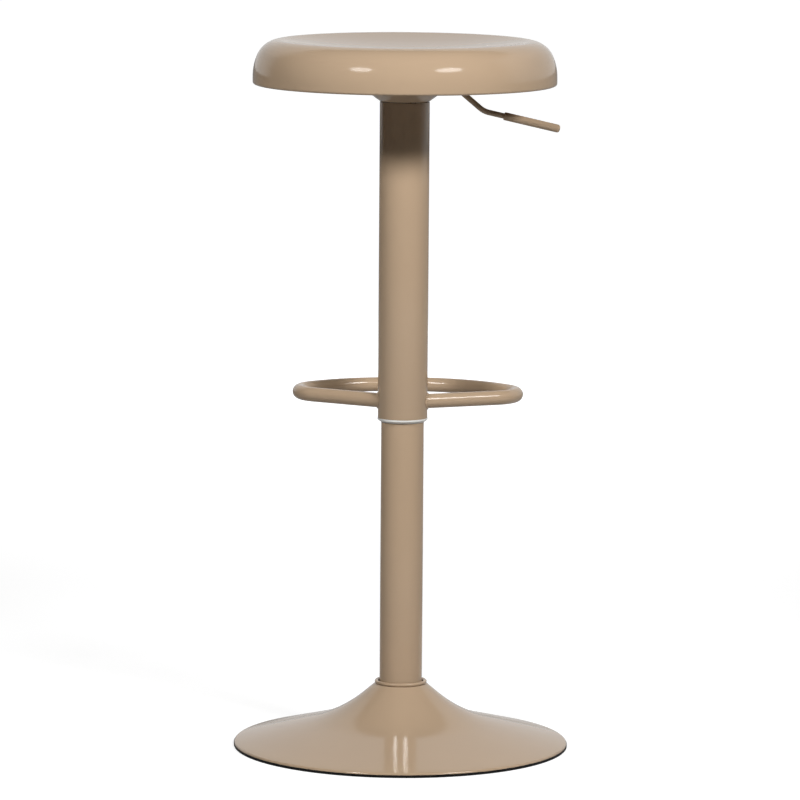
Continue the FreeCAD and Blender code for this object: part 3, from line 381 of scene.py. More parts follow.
def start_point(name, at):
    """One vertex, from which an outline is drawn."""
    ready_to_add()
    bpy.ops.mesh.primitive_plane_add(size=MM, location=at)
    piece = new_piece(name)
    bpy.ops.mesh.merge(type="CENTER")
    return piece


def start_section(name, at, direction, radius, sides=BAR_SIDES):
    """A circle square to a direction, from which a bar is drawn."""
    ready_to_add()
    rotation = direction.to_track_quat("Z", "Y").to_euler()
    bpy.ops.mesh.primitive_circle_add(vertices=sides, radius=radius, location=at, rotation=rotation)
    return new_piece(name)


def select_vertices(piece, wanted):
    """Selects the vertices whose place passes a test, in edit mode."""
    mesh = bmesh.from_edit_mesh(piece.data)
    for vertex in mesh.verts:
        vertex.select_set(wanted(piece.matrix_world @ vertex.co))
    mesh.select_flush(True)
    mesh.select_flush(False)
    bmesh.update_edit_mesh(piece.data)


def nearest_face_normal(piece, place):
    nearest = min(piece.data.polygons, key=lambda f: (piece.matrix_world @ f.center - place).length)
    return piece.matrix_world.to_3x3() @ nearest.normal


def close_up(piece, place, outward):
    """Merges doubles and points every face outwards. The face nearest to place has to face that way."""
    edit(piece)
    bpy.ops.mesh.remove_doubles(threshold=MERGE_GAP)
    bpy.ops.mesh.normals_make_consistent(inside=False)
    object_mode()
    facing = nearest_face_normal(piece, place).dot(outward)
    if abs(facing) < SURE_FACING:
        raise RuntimeError(piece.name + " has no face there that tells its outside")
    if facing < 0:
        edit(piece)
        bpy.ops.mesh.flip_normals()
        object_mode()


def spin_round(sides, centre=Vector(), axis=UP):
    """Spins the whole outline round an axis."""
    bpy.ops.mesh.select_all(action="SELECT")
    bpy.ops.mesh.spin(steps=sides, angle=math.tau, center=centre, axis=axis)


def apply_modifier(piece, kind, **settings):
    select_only(piece)
    bpy.ops.object.modifier_add(type=kind)
    modifier = piece.modifiers[-1]
    for key, value in settings.items():
        setattr(modifier, key, value)
    bpy.ops.object.modifier_apply(modifier=modifier.name)


def round_edges(piece, width):
    """Rounds every sharp edge of a piece."""
    apply_modifier(
        piece, "BEVEL", width=width, segments=EDGE_SEGMENTS, limit_method="ANGLE", angle_limit=SHARP_ANGLE
    )
    edit(piece)
    bpy.ops.mesh.dissolve_degenerate(threshold=MERGE_GAP)
    object_mode()


def combine(piece, other, operation="DIFFERENCE"):
    """Cuts another solid out of a piece or joins it to the piece, and removes that solid."""
    apply_modifier(piece, "BOOLEAN", operation=operation, object=other, solver="EXACT")
    bpy.data.objects.remove(other)


def spun_sheet(name, start, heading, moves, thickness, sides=WIDE_SIDES):
    """A spun or pressed sheet. The moves are its outer side, and the wall lies to their right."""
    piece = start_point(name, start)
    draw(start, heading, moves)
    spin_round(sides)
    first = start + heading_vector(UPRIGHT, heading) * MM
    close_up(piece, first, heading_vector(UPRIGHT, heading + RIGHT_ANGLE))
    apply_modifier(piece, "SOLIDIFY", thickness=thickness, offset=-1, use_even_offset=True)
    return piece


def turned(name, points, sides=TUBE_SIDES):
    """A turned ring with that outline of (radius, height) points, listed anticlockwise from its foot."""
    corners = [Vector((r, 0, z)) for r, z in points]
    piece = start_point(name, corners[0])
    for before, after in zip(corners, corners[1:] + corners[:1]):
        bpy.ops.mesh.extrude_region_move(TRANSFORM_OT_translate={"value": after - before})
    spin_round(sides)
    close_up(piece, (corners[0] + corners[1]) / 2, -UP)
    return piece


def tube_outline(outer, inner, foot, top):
    return [(inner, foot), (outer, foot), (outer, top), (inner, top)]


def cylinder(radius, foot, top, x, y, sides=BAR_SIDES, turn=0.0):
    """A plain upright cylinder or prism."""
    ready_to_add()
    place = (x, y, (foot + top) / 2)
    bpy.ops.mesh.primitive_cylinder_add(
        vertices=sides, radius=radius, depth=top - foot, location=place, rotation=(0, 0, turn)
    )
    return bpy.context.object


def hand_over(piece, body, slot, *nodes):
    """Puts a finished piece on its body, in its slot's finish, in the place of its CAD nodes."""
    select_only(piece)
    bpy.ops.object.transform_apply(location=True, rotation=True, scale=True)
    bpy.ops.object.shade_smooth_by_angle(angle=SHARP_ANGLE)
    piece.data.materials.clear()
    piece.data.materials.append(finish_of(slot))
    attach(piece, body)
    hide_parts(*nodes)


# Finishes

WHITE = (1, 1, 1, 1)
VECTOR_MATHS = "ShaderNodeVectorMath"
NOISE_RANGE = (0.3, 0.7)  # where most values of a noise lie


def set_inputs(node, **inputs):
    """Sets a node's inputs by name."""
    for name, value in inputs.items():
        node.inputs[name.replace("_", " ")].default_value = value


def add_node(material, kind, **inputs):
    """Adds a shader node and sets its inputs."""
    made = material.node_tree.nodes.new(kind)
    set_inputs(made, **inputs)
    return made


def join(material, output, target):
    material.node_tree.links.new(output, target)


def maths(material, operation, *values, kind="ShaderNodeMath", output="Value"):
    """Adds a maths node. Each value is another node's output or a plain one."""
    made = add_node(material, kind)
    made.operation = operation
    for value, target in zip(values, made.inputs):
        if isinstance(value, bpy.types.NodeSocket):
            join(material, value, target)
        else:
            target.default_value = value
    return made.outputs[output]


def faded(material, value, fade, low, high, ease="SMOOTHSTEP"):
    """Goes from low to high, as the value goes from the fade's start to its end."""
    made = add_node(
        material, "ShaderNodeMapRange", From_Min=fade[0], From_Max=fade[1], To_Min=low, To_Max=high
    )
    made.interpolation_type = ease
    join(material, value, made.inputs["Value"])
    return made.outputs["Result"]


def linear(gamma_colour, lightness=1.0):
    """A shader colour from a displayed sRGB one, made lighter or darker."""
    channels = []
    for channel in gamma_colour:
        light = channel / 12.92 if channel <= 0.04045 else ((channel + 0.055) / 1.055) ** 2.4
        channels.append(min(light * lightness, 1.0))
    return (*channels, 1.0)


def stretched_place(material, stretch):
    """Object coordinates, stretched along the axes."""
    place = add_node(material, "ShaderNodeTexCoord").outputs["Object"]
    mapping = add_node(material, "ShaderNodeMapping", Scale=stretch)
    join(material, place, mapping.inputs["Vector"])
    return mapping.outputs["Vector"]


def noise(material, place, scale, detail=2.0):
    made = add_node(material, "ShaderNodeTexNoise", Scale=scale, Detail=detail)
    join(material, place, made.inputs["Vector"])
    return made.outputs["Fac"]


def mapped(material, value, low, high):
    """Spreads a noise between two values."""
    return faded(material, value, NOISE_RANGE, low, high, "LINEAR")


def mottled(material, value, tint, mottle):
    """A colour that a noise makes darker and lighter by that share."""
    made = add_node(material, "ShaderNodeMix")
    made.data_type = "RGBA"
    factor_input, first, second = made.inputs[0], made.inputs[6], made.inputs[7]
    join(material, mapped(material, value, 0, 1), factor_input)
    first.default_value = linear(tint, 1 - mottle)
    second.default_value = linear(tint, 1 + mottle)
    return made.outputs[2]


def bumped(material, value, height):
    """Relief of that height from a noise."""
    made = add_node(material, "ShaderNodeBump", Strength=1.0, Distance=height)
    join(material, value, made.inputs["Height"])
    return made.outputs["Normal"]


def new_material(name):
    """A material and its shader."""
    material = bpy.data.materials.new(name)
    material.use_nodes = True
    return material, material.node_tree.nodes["Principled BSDF"]


def shade(material, shader, tone, shine, relief):
    """Gives a shader its colour, roughness and relief."""
    for output, socket in ((tone, "Base Color"), (shine, "Roughness"), (relief, "Normal")):
        join(material, output, shader.inputs[socket])
    return material


# The powder coat
PAINT_IOR = 1.45
PAINT_MOTTLE = 0.015
PAINT_SHINE_CHANGE = 0.07
PAINT_PEEL = 0.0008 * MM
PAINT_SCALES = (9, 60, 300)  # of the mottle, the change of shine and the orange peel


def beige_paint(colours):
    """Glossy powder coat: one even colour with the faint orange peel of a stoved coat."""
    material, shader = new_material("beige_paint_finish")
    set_inputs(shader, IOR=PAINT_IOR)
    place = stretched_place(material, (1, 1, 1))
    wide, fine, peel = (noise(material, place, scale) for scale in PAINT_SCALES)
    bright, dull = (colours.paint_roughness * (1 + way * PAINT_SHINE_CHANGE) for way in (-1, 1))
    tone = mottled(material, wide, colours.paint, PAINT_MOTTLE)
    shine = mapped(material, fine, bright, dull)
    return shade(material, shader, tone, shine, bumped(material, peel, PAINT_PEEL))


# Each slot's colour, roughness, mottle, scale and height of its grain, and what else sets it apart
FINISHES = {
    "white_plastic": ("white_plastic", (0.34, 0.44), 0.02, 900, 0.004 * MM, {}),
    "natural_plastic": ("natural_plastic", (0.4, 0.52), 0.04, 700, 0.006 * MM, {}),
    "black_rubber": ("rubber", (0.6, 0.8), 0.25, 800, 0.02 * MM, {"mottle_scale": 40}),
    "black_paint": ("black_paint", (0.32, 0.46), 0.12, 1100, 0.008 * MM, {}),
    "raw_iron": ("raw_iron", (0.55, 0.8), 0.3, 240, 0.12 * MM, {"Metallic": 0.9}),
    "mill_steel": ("mill_steel", (0.35, 0.5), 0.12, 160, 0.006 * MM, {"Metallic": 1, "stretch": (6, 6, 1)}),
    "zinc_steel": ("zinc_steel", (0.24, 0.42), 0.1, 420, 0.004 * MM, {"Metallic": 1, "mottle_scale": 90}),
    "ground_steel": (
        "ground_steel", (0.1, 0.2), 0.04, 300, 0.001 * MM, {"Metallic": 1, "stretch": (1, 1, 14)}
    ),
    "turned_aluminium": (
        "aluminium", (0.24, 0.38), 0.05, 260, 0.004 * MM, {"Metallic": 1, "stretch": (1, 1, 10)}
    ),
}


def finish(slot, tint, roughness, mottle, grain, height, stretch=(1, 1, 1), mottle_scale=14, **inputs):
    """A finish whose colour varies by a wide noise, and whose shine and relief vary by a fine grain."""
    material, shader = new_material(slot + "_finish")
    set_inputs(shader, **inputs)
    wide = noise(material, stretched_place(material, (1, 1, 1)), mottle_scale, 3.0)
    fine = noise(material, stretched_place(material, stretch), grain)
    tone = mottled(material, wide, tint, mottle)
    shine = mapped(material, fine, *roughness)
    return shade(material, shader, tone, shine, bumped(material, fine, height))


def finish_of(slot):
    """The finish of a material slot, made when it is first asked for."""
    made = bpy.data.materials.get(slot + "_finish")
    if made:
        return made
    colours = bpy.context.scene.stool_finishes
    if slot == "beige_paint":
        return beige_paint(colours)
    tint, *values, others = FINISHES[slot]
    return finish(slot, getattr(colours, tint), *values, **others)


# Seat

def shoulder_and_side(seat):
    return [
        bend(seat.shoulder_radius, -seat.shoulder_turn),
        bend(seat.side_radius, seat.shoulder_turn - RIGHT_ANGLE),
    ]


def crest_radius(seat):
    """The radius of the seat's highest line."""
    return seat.radius - end_of(Vector(), OUT, shoulder_and_side(seat)).x


def dish_curve(seat):
    """The dish's radius of curvature, and its slope where it meets the shoulder."""
    crest = crest_radius(seat)
    shoulder_height = seat.dish_depth - seat.shoulder_radius
    radius = (crest ** 2 + shoulder_height ** 2 - seat.shoulder_radius ** 2) / (2 * seat.dish_depth)
    return radius, math.asin(crest / (radius + seat.shoulder_radius))


class STOOL_OT_seat_pan(bpy.types.Operator):
    """Adds the pressed seat: a dished top, a round shoulder, the side and the hem under it"""

    bl_idname = "stool.seat_pan"
    bl_label = "Seat pan"

    def execute(self, context):
        seat = context.scene.stool_seat
        radius, slope = dish_curve(seat)
        moves = [bend(radius, slope), bend(seat.shoulder_radius, -slope)] + shoulder_and_side(seat)
        moves += [run(seat.side_run), bend(seat.hem_radius, -RIGHT_ANGLE), run(seat.hem_width)]
        middle = UP * (seat.top - seat.dish_depth)
        piece = spun_sheet("seat_shell", middle, OUT, moves, seat.sheet)
        round_edges(piece, seat.sheet / HEM_EDGE)
        hand_over(piece, "lift", "beige_paint", "seat_pan")
        return {"FINISHED"}


def bolt_places(bowl):
    half = bowl.bolt_spacing / 2
    return [(x, y) for x in (-half, half) for y in (-half, half)]


def drill_bolt_holes(piece, bowl, foot, top):
    for x, y in bolt_places(bowl):
        combine(piece, cylinder(bowl.bolt_radius * LOOSE_HOLE, foot, top, x, y))


class STOOL_OT_seat_bowl(bpy.types.Operator):
    """Adds the pressed bowl that is welded under the seat, and the plate it is bolted to"""

    bl_idname = "stool.seat_bowl"
    bl_label = "Seat bowl and plate"

    def execute(self, context):
        seat, bowl = context.scene.stool_seat, context.scene.stool_bowl
        half, plate_foot, plate_top = span("seat_plate")
        self.add_bowl(seat, bowl, plate_top)
        self.add_plate(bowl, half, plate_foot, plate_top)
        return {"FINISHED"}

    def add_bowl(self, seat, bowl, foot):
        flange_radius = dish_curve(seat)[0] + seat.sheet
        weld_start = highest("seat_bowl").x - bowl.weld_width
        flange_slope = math.asin(weld_start / flange_radius)
        rise = flange_radius * (1 - math.cos(flange_slope))
        middle = UP * (foot + bowl.sheet)
        bends = [bend(bowl.bend_radius, turn) for turn in (bowl.wall_slope, flange_slope - bowl.wall_slope)]
        underside = seat.top - seat.dish_depth - seat.sheet
        flange_start = Vector((weld_start, 0, underside + rise))
        gap = flange_start - end_of(middle, OUT, bends)
        floor_run, wall_run = steps_across(gap, SIDEWAYS, heading_vector(UPRIGHT, bowl.wall_slope))
        flange = bend(flange_radius, bowl.weld_width / flange_radius)
        moves = [run(floor_run), bends[0], run(wall_run), bends[1], flange]
        piece = spun_sheet("bowl_shell", middle, OUT, moves, bowl.sheet, TUBE_SIDES)
        drill_bolt_holes(piece, bowl, foot - bowl.sheet, foot + 2 * bowl.sheet)
        round_edges(piece, bowl.sheet / SHEET_EDGE)
        hand_over(piece, "lift", "beige_paint", "seat_bowl")

    def add_plate(self, bowl, half, foot, top):
        ready_to_add()
        bpy.ops.mesh.primitive_plane_add(size=2 * half, location=(0, 0, foot))
        piece = new_piece("seat_plate_square")
        bpy.ops.mesh.bevel(offset=bowl.plate_corner, segments=CORNER_SEGMENTS, affect="VERTICES")
        bpy.ops.mesh.select_all(action="SELECT")
        bpy.ops.mesh.extrude_region_move(TRANSFORM_OT_translate={"value": UP * (top - foot)})
        close_up(piece, UP * top, UP)
        drill_bolt_holes(piece, bowl, foot - bowl.sheet, top + bowl.sheet)
        round_edges(piece, (top - foot) / PLATE_EDGE)
        hand_over(piece, "lift", "beige_paint", "seat_plate")


class STOOL_OT_seat_bolts(bpy.types.Operator):
    """Adds the four seat bolts with their washers and weld nuts"""

    bl_idname = "stool.seat_bolts"
    bl_label = "Seat bolts"

    def execute(self, context):
        bowl = context.scene.stool_bowl
        radius, head = bowl.bolt_radius, bowl.bolt_head_height
        hole = radius * TIGHT_HOLE
        _, foot, tip = span("seat_bolts")
        _, washer_foot, washer_top = span("bolt_washers")
        nut_foot = lowest("weld_nuts").z
        for number, (x, y) in enumerate(bolt_places(bowl), 1):
            bolt = self.add_hexagon("seat_bolt_%d" % number, x, y, bowl.bolt_head_flats, foot, head)
            shank = cylinder(radius, foot + head - MM, tip, x, y)
            round_edges(shank, radius / BOLT_EDGE)
            combine(bolt, shank, "UNION")
            hand_over(bolt, "lift", "zinc_steel", "seat_bolts")
            outline = tube_outline(bowl.washer_radius, hole, washer_foot, washer_top)
            washer = turned("bolt_washer_%d" % number, outline, BAR_SIDES)
            edit(washer)
            bpy.ops.transform.translate(value=(x, y, 0))
            round_edges(washer, (washer_top - washer_foot) / BOLT_EDGE)
            hand_over(washer, "lift", "zinc_steel", "bolt_washers")
            nut = self.add_hexagon("weld_nut_%d" % number, x, y, bowl.nut_flats, nut_foot, bowl.nut_height)
            combine(nut, cylinder(hole, nut_foot - MM, nut_foot + 2 * bowl.nut_height, x, y))
            hand_over(nut, "lift", "zinc_steel", "weld_nuts")
        return {"FINISHED"}

    def add_hexagon(self, name, x, y, flats, foot, height):
        """A hexagon with its edges chamfered at both ends."""
        piece = cylinder(flats / math.sqrt(3), foot, foot + height, x, y, 6, RIGHT_ANGLE)
        piece.name = piece.data.name = name
        round_edges(piece, height / HEAD_EDGE)
        return piece


# Seat mechanism and lever

class STOOL_OT_mechanism_cup(bpy.types.Operator):
    """Adds the pressed cup under the seat, with the slot that the lever comes out of"""

    bl_idname = "stool.mechanism_cup"
    bl_label = "Mechanism cup"

    def execute(self, context):
        cup = context.scene.stool_cup
        radius, foot, top = span("mechanism_cup")
        socket_radius = highest("taper_socket").x
        start = Vector((radius, 0, top))
        shoulder = bend(cup.shoulder_radius, cup.slope - RIGHT_ANGLE)
        cone = run(cup.cone_height / math.sin(cup.slope))
        floor_bend = bend(cup.floor_radius, -cup.slope)
        reach = end_of(start, DOWN, [shoulder, cone, floor_bend])
        wall = run(reach.z - foot)
        floor = run(reach.x - socket_radius)
        moves = [wall, shoulder, cone, floor_bend, floor]
        piece = spun_sheet("mechanism_cup_shell", start, DOWN, moves, cup.sheet, TUBE_SIDES)
        self.cut_slot(piece, radius, cup)
        round_edges(piece, cup.sheet / SHEET_EDGE)
        hand_over(piece, "lift", "beige_paint", "mechanism_cup")
        return {"FINISHED"}

    def cut_slot(self, piece, radius, cup):
        """The upright slot in the wall, on the lever's side."""
        rod = bpy.context.scene.stool_lever.rod_radius
        half = rod + cup.slot_gap
        foot, top = pivot_height() - half, pivot_height() + rod + cup.slot_room
        ready_to_add()
        bpy.ops.mesh.primitive_cube_add(size=1, location=(radius - cup.sheet, 0, (foot + top) / 2))
        cutter = bpy.context.object
        cutter.scale = (6 * cup.sheet, 2 * half, top - foot)  # well through the wall
        combine(piece, cutter)


def pivot_height():
    """The height of the lever's pivot."""
    _, foot, top = span("lever_rocker")
    return (foot + top) / 2


class STOOL_OT_lever(bpy.types.Operator):
    """Adds the release lever's bent rod and the sleeve on its grip"""

    bl_idname = "stool.lever"
    bl_label = "Lever rod and sleeve"

    def execute(self, context):
        lever = context.scene.stool_lever
        start = Vector((lowest("lever_rod").x, 0, pivot_height()))
        drop = bend(lever.drop_radius, -lever.drop_angle)
        level = bend(lever.grip_radius, lever.drop_angle - lever.grip_angle)
        moves = [run(lever.inner_run), drop, run(lever.drop_run), level, run(lever.bare_run)]
        gripped = run(lever.sleeve_length - lever.sleeve_tip_wall)
        rod = start_section("lever_bent_rod", start, SIDEWAYS, lever.rod_radius)
        bpy.ops.mesh.edge_face_add()
        draw(start, OUT, moves + [gripped])
        close_up(rod, start, -SIDEWAYS)
        round_edges(rod, lever.rod_radius / ROD_EDGE)
        hand_over(rod, "lever", "beige_paint", "lever_rod")
        self.add_sleeve(lever, end_of(start, OUT, moves))
        return {"FINISHED"}

    def add_sleeve(self, lever, mouth):
        """The sleeve: its outline starts at the middle of its tip and is spun round the grip's axis."""
        along = heading_vector(UPRIGHT, -lever.grip_angle)
        tip = mouth + along * lever.sleeve_length
        bore = lever.rod_radius + FIT_GAP
        tip_radius, mouth_radius = lever.sleeve_tip_radius, lever.sleeve_mouth_radius
        outside = lever.sleeve_length - tip_radius - mouth_radius
        moves = [
            run(lever.sleeve_radius - tip_radius), bend(tip_radius, RIGHT_ANGLE), run(outside),
            bend(mouth_radius, RIGHT_ANGLE), run(lever.sleeve_radius - mouth_radius - bore),
            bend(0, RIGHT_ANGLE), run(lever.sleeve_length - lever.sleeve_tip_wall),
            bend(0, -RIGHT_ANGLE), run(bore),
        ]
        sleeve = start_point("lever_grip_sleeve", tip)
        draw(tip, RIGHT_ANGLE - lever.grip_angle, moves)
        spin_round(BAR_SIDES, tip, along)
        close_up(sleeve, tip, along)
        hand_over(sleeve, "lever", "beige_paint", "lever_sleeve")


# Cover tube and column

class STOOL_OT_cover_tube(bpy.types.Operator):
    """Adds the cover tube that rises with the seat, and the white bushing in its foot"""

    bl_idname = "stool.cover_tube"
    bl_label = "Cover tube and bushing"

    def execute(self, context):
        column = context.scene.stool_column
        radius, foot, top = span("cover_tube")
        bore = radius - column.wall
        cover = turned("cover_tube_shell", tube_outline(radius, bore, foot, top))
        round_edges(cover, column.edge)
        hand_over(cover, "lift", "beige_paint", "cover_tube")

        slide = highest("column_tube").x + column.bushing_bore_gap
        flange, bushing_foot, _ = span("cover_bushing")
        sleeve = bore - FIT_GAP
        bushing = turned("bushing_ring", [
            (slide, bushing_foot), (slide + column.bushing_foot_wall, bushing_foot),
            (flange, foot - column.bushing_edge), (flange, foot), (sleeve, foot),
            (sleeve, foot + column.bushing_sleeve), (slide, foot + column.bushing_sleeve),
        ])
        round_edges(bushing, column.bushing_foot_wall / HEM_EDGE)
        hand_over(bushing, "lift", "white_plastic", "cover_bushing")
        return {"FINISHED"}


class STOOL_OT_column_tube(bpy.types.Operator):
    """Adds the fixed column with its tapered foot"""

    bl_idname = "stool.column_tube"
    bl_label = "Column tube"

    def execute(self, context):
        column = context.scene.stool_column
        radius, foot, top = span("column_tube")
        bore = radius - column.wall
        taper_top = foot + column.taper_length
        drop = column.taper_drop
        piece = turned("column_shell", [
            (bore - drop, foot), (radius - drop, foot), (radius, taper_top), (radius, top),
            (bore, top), (bore, taper_top),
        ])
        round_edges(piece, column.edge)
        hand_over(piece, "base", "beige_paint", "column_tube")
        return {"FINISHED"}


# Footrest

def hoop_tube():
    """The radius of the footrest's tube, and the height of its middle line."""
    _, foot, top = span("footrest_hoop")
    return (top - foot) / 2, (top + foot) / 2


def leg_start(footrest, side):
    """Where a leg's middle line starts and which way it goes. The right side is 1 and the left is -1."""
    start = Vector((side * footrest.leg_start, 0, hoop_tube()[1]))
    along = Vector((side * math.cos(footrest.leg_angle), math.sin(footrest.leg_angle), 0))
    return start, along


def to_cover(place, along):
    """How far a point is moved along a leg to lie on the cover tube."""
    radius = highest("cover_tube").x
    flat = Vector((place.x, place.y, 0))
    ahead = flat.dot(along)
    return math.sqrt(ahead ** 2 - flat.length_squared + radius ** 2) - ahead


class STOOL_OT_footrest_hoop(bpy.types.Operator):
    """Adds the footrest: one bent tube whose ends are shaped to the cover tube"""

    bl_idname = "stool.footrest_hoop"
    bl_label = "Footrest hoop"

    def execute(self, context):
        footrest = context.scene.stool_footrest
        start, along = leg_start(footrest, 1)
        radius, _ = hoop_tube()
        piece = start_section("footrest_bent_tube", start, along, radius)
        end, _ = draw(start, footrest.leg_angle, self.moves(footrest, start, radius), LEVEL)
        self.fit_end(piece, start, along, radius)
        self.fit_end(piece, end, leg_start(footrest, -1)[1], radius)
        close_up(piece, start + along * radius + UP * radius, UP)
        hand_over(piece, "lift", "beige_paint", "footrest_hoop")
        return {"FINISHED"}

    def moves(self, footrest, start, radius):
        """Leg, side, front, side and leg. The front's curve is what joins the two sides."""
        half_width = highest("footrest_hoop").x - radius
        reach = highest("footrest_hoop").y - radius
        side, angle_out = footrest.side_radius, footrest.leg_angle
        side_x = half_width - side
        leg = (side_x + side * math.sin(angle_out) - start.x) / math.cos(angle_out)
        side_y = start.y + leg * math.sin(angle_out) + side * math.cos(angle_out)
        short = side_y - reach
        front = (side_x ** 2 + short ** 2 - side ** 2) / (-2 * (short + side))
        spoke = math.atan2(side_y - (reach - front), side_x)
        side_turn = spoke + RIGHT_ANGLE - angle_out
        front_turn = 2 * (RIGHT_ANGLE - spoke)
        return [run(leg), bend(side, side_turn), bend(front, front_turn), bend(side, side_turn), run(leg)]

    def fit_end(self, piece, end, along, radius):
        """Moves each vertex of an open end along the leg onto the cover tube, and closes the end."""
        edit(piece)
        mesh = bmesh.from_edit_mesh(piece.data)
        places = [piece.matrix_world @ v.co for v in mesh.verts]
        ring = [
            p for p in places if (p - end).length < radius + PICK_GAP and abs((p - end).dot(along)) < PICK_GAP
        ]
        for place in ring:
            select_vertices(piece, lambda other: (other - place).length < MERGE_GAP)
            bpy.ops.transform.translate(value=along * to_cover(place, along))
        fitted = [p + along * to_cover(p, along) for p in ring]
        select_vertices(piece, lambda other: any((other - p).length < PICK_GAP for p in fitted))
        bpy.ops.mesh.edge_face_add()
        object_mode()


class STOOL_OT_footrest_welds(bpy.types.Operator):
    """Adds the rippled weld bead round each end of the footrest"""

    bl_idname = "stool.footrest_welds"
    bl_label = "Footrest welds"

    def execute(self, context):
        footrest = context.scene.stool_footrest
        for name, side in (("footrest_weld_right", 1), ("footrest_weld_left", -1)):
            self.add_bead(name, footrest, *leg_start(footrest, side))
        return {"FINISHED"}

    def add_bead(self, name, footrest, start, along):
        """A bead that runs round the leg, follows the cover tube and is pinched between its ripples."""
        radius, bead = hoop_tube()[0], footrest.weld_radius
        sideways = UP.cross(along)
        count = 2 * footrest.weld_ripples
        piece = start_section(name, start + UP * radius, sideways, bead, BEAD_SIDES)
        spin_round(count, start, along)
        close_up(piece, start + UP * (radius + bead), UP)
        edit(piece)
        for number in range(count):
            turn = number * math.tau / count
            spoke = UP * math.cos(turn) + sideways * math.sin(turn)
            middle = start + spoke * radius
            select_vertices(piece, lambda p: abs(math.atan2(
                (p - start).cross(spoke).dot(along), (p - start).dot(spoke))) < math.pi / (2 * count)
                and abs((p - middle).dot(along)) < 2 * bead)
            pinch = 1 - footrest.ripple * (number % 2)
            bpy.ops.transform.resize(value=(pinch,) * 3, center_override=middle)
            bpy.ops.transform.translate(value=along * to_cover(middle, along))
        object_mode()
        apply_modifier(piece, "SUBSURF", levels=1, render_levels=1)
        hand_over(piece, "lift", "beige_paint", "footrest_welds")


# Base

class STOOL_OT_base_dish(bpy.types.Operator):
    """Adds the trumpet base: a spun steel dish with a lip, a neck, a flare, a skirt and a rim"""

    bl_idname = "stool.base_dish"
    bl_label = "Base dish"

    def execute(self, context):
        base = context.scene.stool_base
        radius, foot, top = span("base_dish")
        start = Vector((highest("column_tube").x + base.lip_gap, 0, top))
        neck = [run(base.lip_width), bend(base.neck_radius, -base.neck_slope), run(base.neck_run)]
        rim = [bend(base.rim_radius, base.skirt_slope - RIGHT_ANGLE), run(base.rim_drop)]
        flare_turn = base.neck_slope - base.skirt_slope
        rim_reach = end_of(Vector(), -base.skirt_slope, rim)
        gap = Vector((radius, 0, foot)) - rim_reach - end_of(start, OUT, neck)
        unit_flare = end_of(Vector(), -base.neck_slope, [bend(1, flare_turn)])
        flare_radius, skirt = steps_across(gap, unit_flare, heading_vector(UPRIGHT, -base.skirt_slope))
        moves = neck + [bend(flare_radius, flare_turn), run(skirt)] + rim
        piece = spun_sheet("base_trumpet", start, OUT, moves, base.sheet)
        round_edges(piece, base.sheet / SHEET_EDGE)
        hand_over(piece, "base", "beige_paint", "base_dish")
        return {"FINISHED"}


class STOOL_OT_neck_ring(bpy.types.Operator):
    """Adds the round collar on the dish's lip, flat where it lies on it"""

    bl_idname = "stool.neck_ring"
    bl_label = "Neck ring"

    def execute(self, context):
        radius, foot, top = span("neck_ring")
        wire = (top - foot) / 2
        middle = Vector((radius - wire, 0, foot + wire))
        piece = start_section("neck_collar", middle, FORWARDS, wire, BAR_SIDES)
        spin_round(WIDE_SIDES)
        close_up(piece, middle + UP * wire, UP)
        flat_top = foot + wire / COLLAR_FLAT
        edit(piece)
        select_vertices(piece, lambda p: p.z < flat_top)
        bpy.ops.transform.resize(value=(1, 1, 0), center_override=(0, 0, foot))
        object_mode()
        hand_over(piece, "base", "beige_paint", "neck_ring")
        return {"FINISHED"}


class STOOL_OT_base_underside(bpy.types.Operator):
    """Adds the rubber ring that is slipped on the dish's rim, and the plate that closes the base"""

    bl_idname = "stool.base_underside"
    bl_label = "Rubber ring and floor plate"

    def execute(self, context):
        base = context.scene.stool_base
        radius, _, height = span("base_rubber_ring")
        inner = radius - base.rubber_width
        rim = highest("base_dish").x + FIT_GAP
        edge, lip, rise = base.rubber_edge, base.rubber_lip, base.rubber_lip_rise
        start = Vector((inner, 0, 0))
        moves = [
            run(rim + lip - inner - edge), bend(edge, RIGHT_ANGLE), run(height + rise - edge),
            bend(0, RIGHT_ANGLE), run(lip), bend(0, RIGHT_ANGLE), run(rise), bend(0, -RIGHT_ANGLE),
            run(rim - inner), bend(0, RIGHT_ANGLE), run(height),
        ]
        ring = start_point("rubber_foot_ring", start)
        draw(start, OUT, moves)
        spin_round(WIDE_SIDES)
        close_up(ring, Vector(((inner + radius) / 2, 0, 0)), -UP)
        hand_over(ring, "base", "black_rubber", "base_rubber_ring")

        plate_radius, foot, top = span("floor_plate")
        outline = tube_outline(plate_radius, base.plate_hole, foot, top)
        plate = turned("floor_plate_disc", outline, WIDE_SIDES)
        round_edges(plate, (top - foot) / SHEET_EDGE)
        hand_over(plate, "base", "black_paint", "floor_plate")
        return {"FINISHED"}


class STOOL_OT_inner_pieces(bpy.types.Operator):
    """Gives the pieces inside the column and the mechanism their finishes"""

    bl_idname = "stool.inner_pieces"
    bl_label = "Inner pieces"

    def execute(self, context):
        for subpart in frame["record"]["subparts"]:
            piece = frame["nodes"][subpart["node"]]
            if piece.hide_render:
                continue
            for place in piece.material_slots:
                place.material = finish_of(subpart["material_slot"])
        return {"FINISHED"}


# Stage

# Where the surroundings fade: in metres from the axis, or by the cosine from the backdrop's middle
FLOOR_GLOW_FADE = (1.2, 4.0)
NEAR_FLOOR_FADE = (0.6, 1.2)
MIRRORED_FLOOR_FADE = (0.3, 0.8)
BACKDROP_FADE = (0.1, 0.5)
BACKDROP_TOP_FADE = (0.64, 0.74)  # by the sine of the angle over the floor

